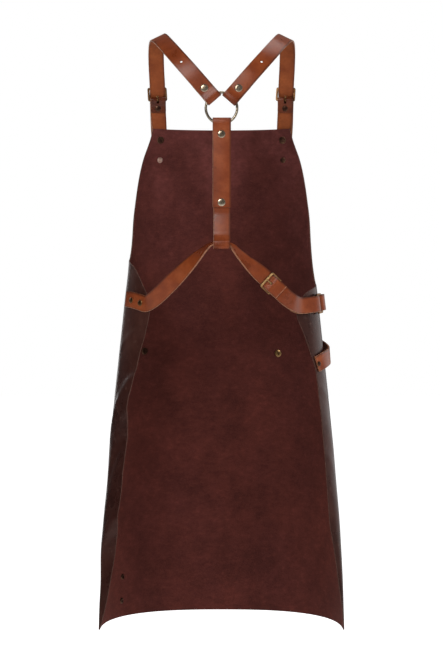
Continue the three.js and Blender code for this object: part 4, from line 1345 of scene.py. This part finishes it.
def makeWaist():
    line = waistLine()
    marks = line.marks
    heel = marks["heelBar"]
    seat = buckleSeat(line, heel, -1)
    strapSlot, foldSlot = tongueSlots(seat)
    sideBar = brassware["waistSideBar"]
    makeFrame("waist_buckle_frame", waistFrameWidth, frameLength, seat, sideBar, brass)
    makeTongue("waist_buckle_tongue", seat, brass)
    places = [
        [marks["leftEnd"], 0],
        *reversed(throughBuckle(heel, marks["frontBar"], -1)),
        [heel + waist["tipStart"][0], layer + waist["tipStart"][1]],
        [marks["underTip"], layer],
    ]
    tipRub = strapSection["tipRub"]
    makeStrap("waist_strap", line, places, strapWidth, waist["corners"], tipRub=tipRub, slots=[strapSlot])
    for node, mark in waist["rivets"]:
        makeRivet(node, line.at(marks[mark]), underPanel, halfWall, rivetCap["medium"], darkBrassAndShade)

    # the side strap is a doubled band round the heel bar and the side loop, lapped inside
    rear, front = marks["loopRear"], marks["loopFront"]
    lap, middle = waist["lap"], (heel + rear) / 2
    band = [
        [middle - lap["half"], -2 * layer],
        [middle + lap["half"], -2 * layer],
        [middle + lap["ramp"], -lap["rampLayers"] * layer],
        [rear - lap["beforeLoop"], -2 * barOffset],
        *halfTurn(rear, -barOffset, barOffset, 1, -1),
        *halfTurn(heel, -barOffset, barOffset, -1, 1),
        [heel + brassware["pastBar"], -2 * barOffset],
        [heel + lap["joined"], -layer],
        [middle + lap["outerEnd"], -layer],
    ]
    corners = waist["bandCorners"]
    makeStrap("side_strap", line, band, strapWidth, corners, "band", grainUp=False, slots=[foldSlot])
    rearBar, frontPoint = line.off(rear, -barOffset), line.off(front, -barOffset)
    along = (frontPoint - rearBar).normalized()
    across = line.at((rear + front) / 2)["across"]
    across = (across - along * across.dot(along)).normalized()
    between = (rearBar + frontPoint) / 2
    loopSeat = {"across": across, "along": along, "face": across.cross(along), "middle": between}
    makeFrame("side_loop", frameWidth, brassware["sideLoopLength"], loopSeat)

    tabEnd = marks["tabTip"]
    tabPlaces = [[tabEnd, 0], *foldedEnd(front, -1, waist["tabFold"], tabEnd - front)]
    makeStrap("side_tab", line, tabPlaces, strapWidth, waist["tabCorners"], grainUp=False)
    for node, before in waist["tabRivets"]:
        low = -tabSeat - panelWall
        makeRivet(node, line.at(tabEnd - before), low, halfWall, rivetCap["medium"])


makeWaist()
print("waist straps made")


# tool loop and the rivets of the panel

tool = {
    "rows": (
        ("start", 1.094, -527.5, 0),
        ("rearRivet", 1.082, -526.6, 0),
        ("rise", 1.045, -522.5, 3),
        ("bow", 1.0, -515, 7),
        ("top", 0.985, -508, 7.6),
        ("fall", 0.94, -499, 4),
        ("frontRivet", 0.88, -490, 0),
        ("end", 0.82, -484, 0),
    ),
    "corners": (1.5, 6),
    "panelRivets": (
        ("panel_rivet_right", 1, 95.8, -511, "large", brass),
        ("panel_rivet_left", -1, 130, -507, "large", dullBronze),
        ("hem_rivet_upper", -1, 165.4, -880, "medium", dullBronze),
        ("hem_rivet_lower", -1, 166.7, -919, "medium", dullBronze),
    ),
}


def makeToolLoop():
    line = StrapLine([
        (name, *panelSeat(1, reach, z, tabLift + lift)) for name, reach, z, lift in tool["rows"]])
    makeStrap("tool_loop", line, [[0, 0], [line.length, 0]], strapWidth, tool["corners"])
    for end in ("rear", "front"):
        place = line.at(line.marks[f"{end}Rivet"])
        makeRivet(f"tool_loop_rivet_{end}", place, underPanel, halfWall, rivetCap["small"], dullBronze)


def makePanelRivets():
    for node, side, x, z, size, metal in tool["panelRivets"]:
        point, face = panelSeat(side, frontReach(x, z), z, 0)
        place = {"point": point, "face": face}
        makeRivet(node, place, -panelWall, 0, rivetCap[size], metal, dished=True)


makeToolLoop()
makePanelRivets()
print("tool loop and panel rivets made")


# floor, light and camera

studio = {
    "floorZ": -1.35,
    "floorSize": 40,
    "ambient": (0.03, 0.28),  # at the far left and at the far right
    "floorGlow": 0.25,
    # name, place, width, height, power, whether it shows in reflections
    "lights": (
        ("key", (-1.2, -3.1, 1.2), 1.5, 1.5, 57, True),
        ("fill", (2.6, -1.7, 0.2), 2.6, 2.6, 34, False),
        ("top", (0.2, 0.3, 2.0), 1.6, 1.6, 20, True),
        ("crease", (-2.2, 1.3, 0.5), 0.5, 0.5, 7, True),
        ("strip", (-1.3, 2.2, -0.3), 0.3, 2.2, 3, True),
        ("sheen", (2.6, 1.5, -0.7), 3.2, 3.2, 22, True),
    ),
    "aim": Vector((0, 0, -0.45)),
}
view = {"place": (0, -2.75, -0.476), "lens": 91.33, "sensor": 36}


def makeStudio():
    clearSelection()
    bpy.ops.mesh.primitive_plane_add(size=studio["floorSize"], location=(0, 0, studio["floorZ"]))
    floor = bpy.context.object
    floor.name = "floor"
    f = Finish("pale floor")
    tone = f.ramp(f.noise(f.place(), 3, 2), (0, (0.9, 0.9, 0.9, 1)), (1, (0.94, 0.94, 0.94, 1)))
    seen = f.add("ShaderNodeLightPath").outputs["Is Camera Ray"]
    f.set(Base_Color=tone, Roughness=0.9, Emission_Color=(1, 1, 1, 1))
    f.set(Emission_Strength=f.spread(seen, 0, 1, studio["floorGlow"], 1))
    floor.data.materials.append(f.material)
    for name, place, width, height, power, mirrored in studio["lights"]:
        light = bpy.data.lights.new(name, "AREA")
        light.shape = "ELLIPSE"
        light.size = width
        light.size_y = height
        light.energy = power
        lamp = bpy.data.objects.new(name, light)
        lamp.visible_glossy = mirrored
        lamp.location = place
        lamp.rotation_euler = (studio["aim"] - Vector(place)).to_track_quat("-Z", "Y").to_euler()
        bpy.context.scene.collection.objects.link(lamp)
    world = bpy.data.worlds.new("studio")
    bpy.context.scene.world = world
    world.use_nodes = True
    sky = Nodes(world.node_tree)
    white = (1, 1, 1, 1)
    toRight = sky.split(sky.add("ShaderNodeTexCoord").outputs["Generated"])["X"]
    strength = sky.spread(toRight, -1, 1, *studio["ambient"])
    around = sky.add("ShaderNodeBackground", Color=white, Strength=strength).outputs[0]
    behind = sky.tree.nodes["Background"]
    sky.feedAll((behind.inputs["Color"], behind.inputs["Strength"]), (white, 1.0))
    fromCamera = sky.add("ShaderNodeLightPath").outputs["Is Camera Ray"]
    mixed = sky.add("ShaderNodeMixShader")
    sky.feedAll(mixed.inputs, (fromCamera, around, behind.outputs[0]))
    sky.feed(sky.tree.nodes["World Output"].inputs["Surface"], mixed.outputs[0])
    bpy.context.scene.view_settings.view_transform = "Standard"


def makeCamera():
    data = bpy.data.cameras.new("camera")
    data.sensor_width = view["sensor"]
    data.lens = view["lens"]
    camera = bpy.data.objects.new("camera", data)
    camera.location = view["place"]
    camera.rotation_euler = (math.pi / 2, 0, 0)
    bpy.context.scene.collection.objects.link(camera)
    bpy.context.scene.camera = camera


makeStudio()
makeCamera()
print("studio made")
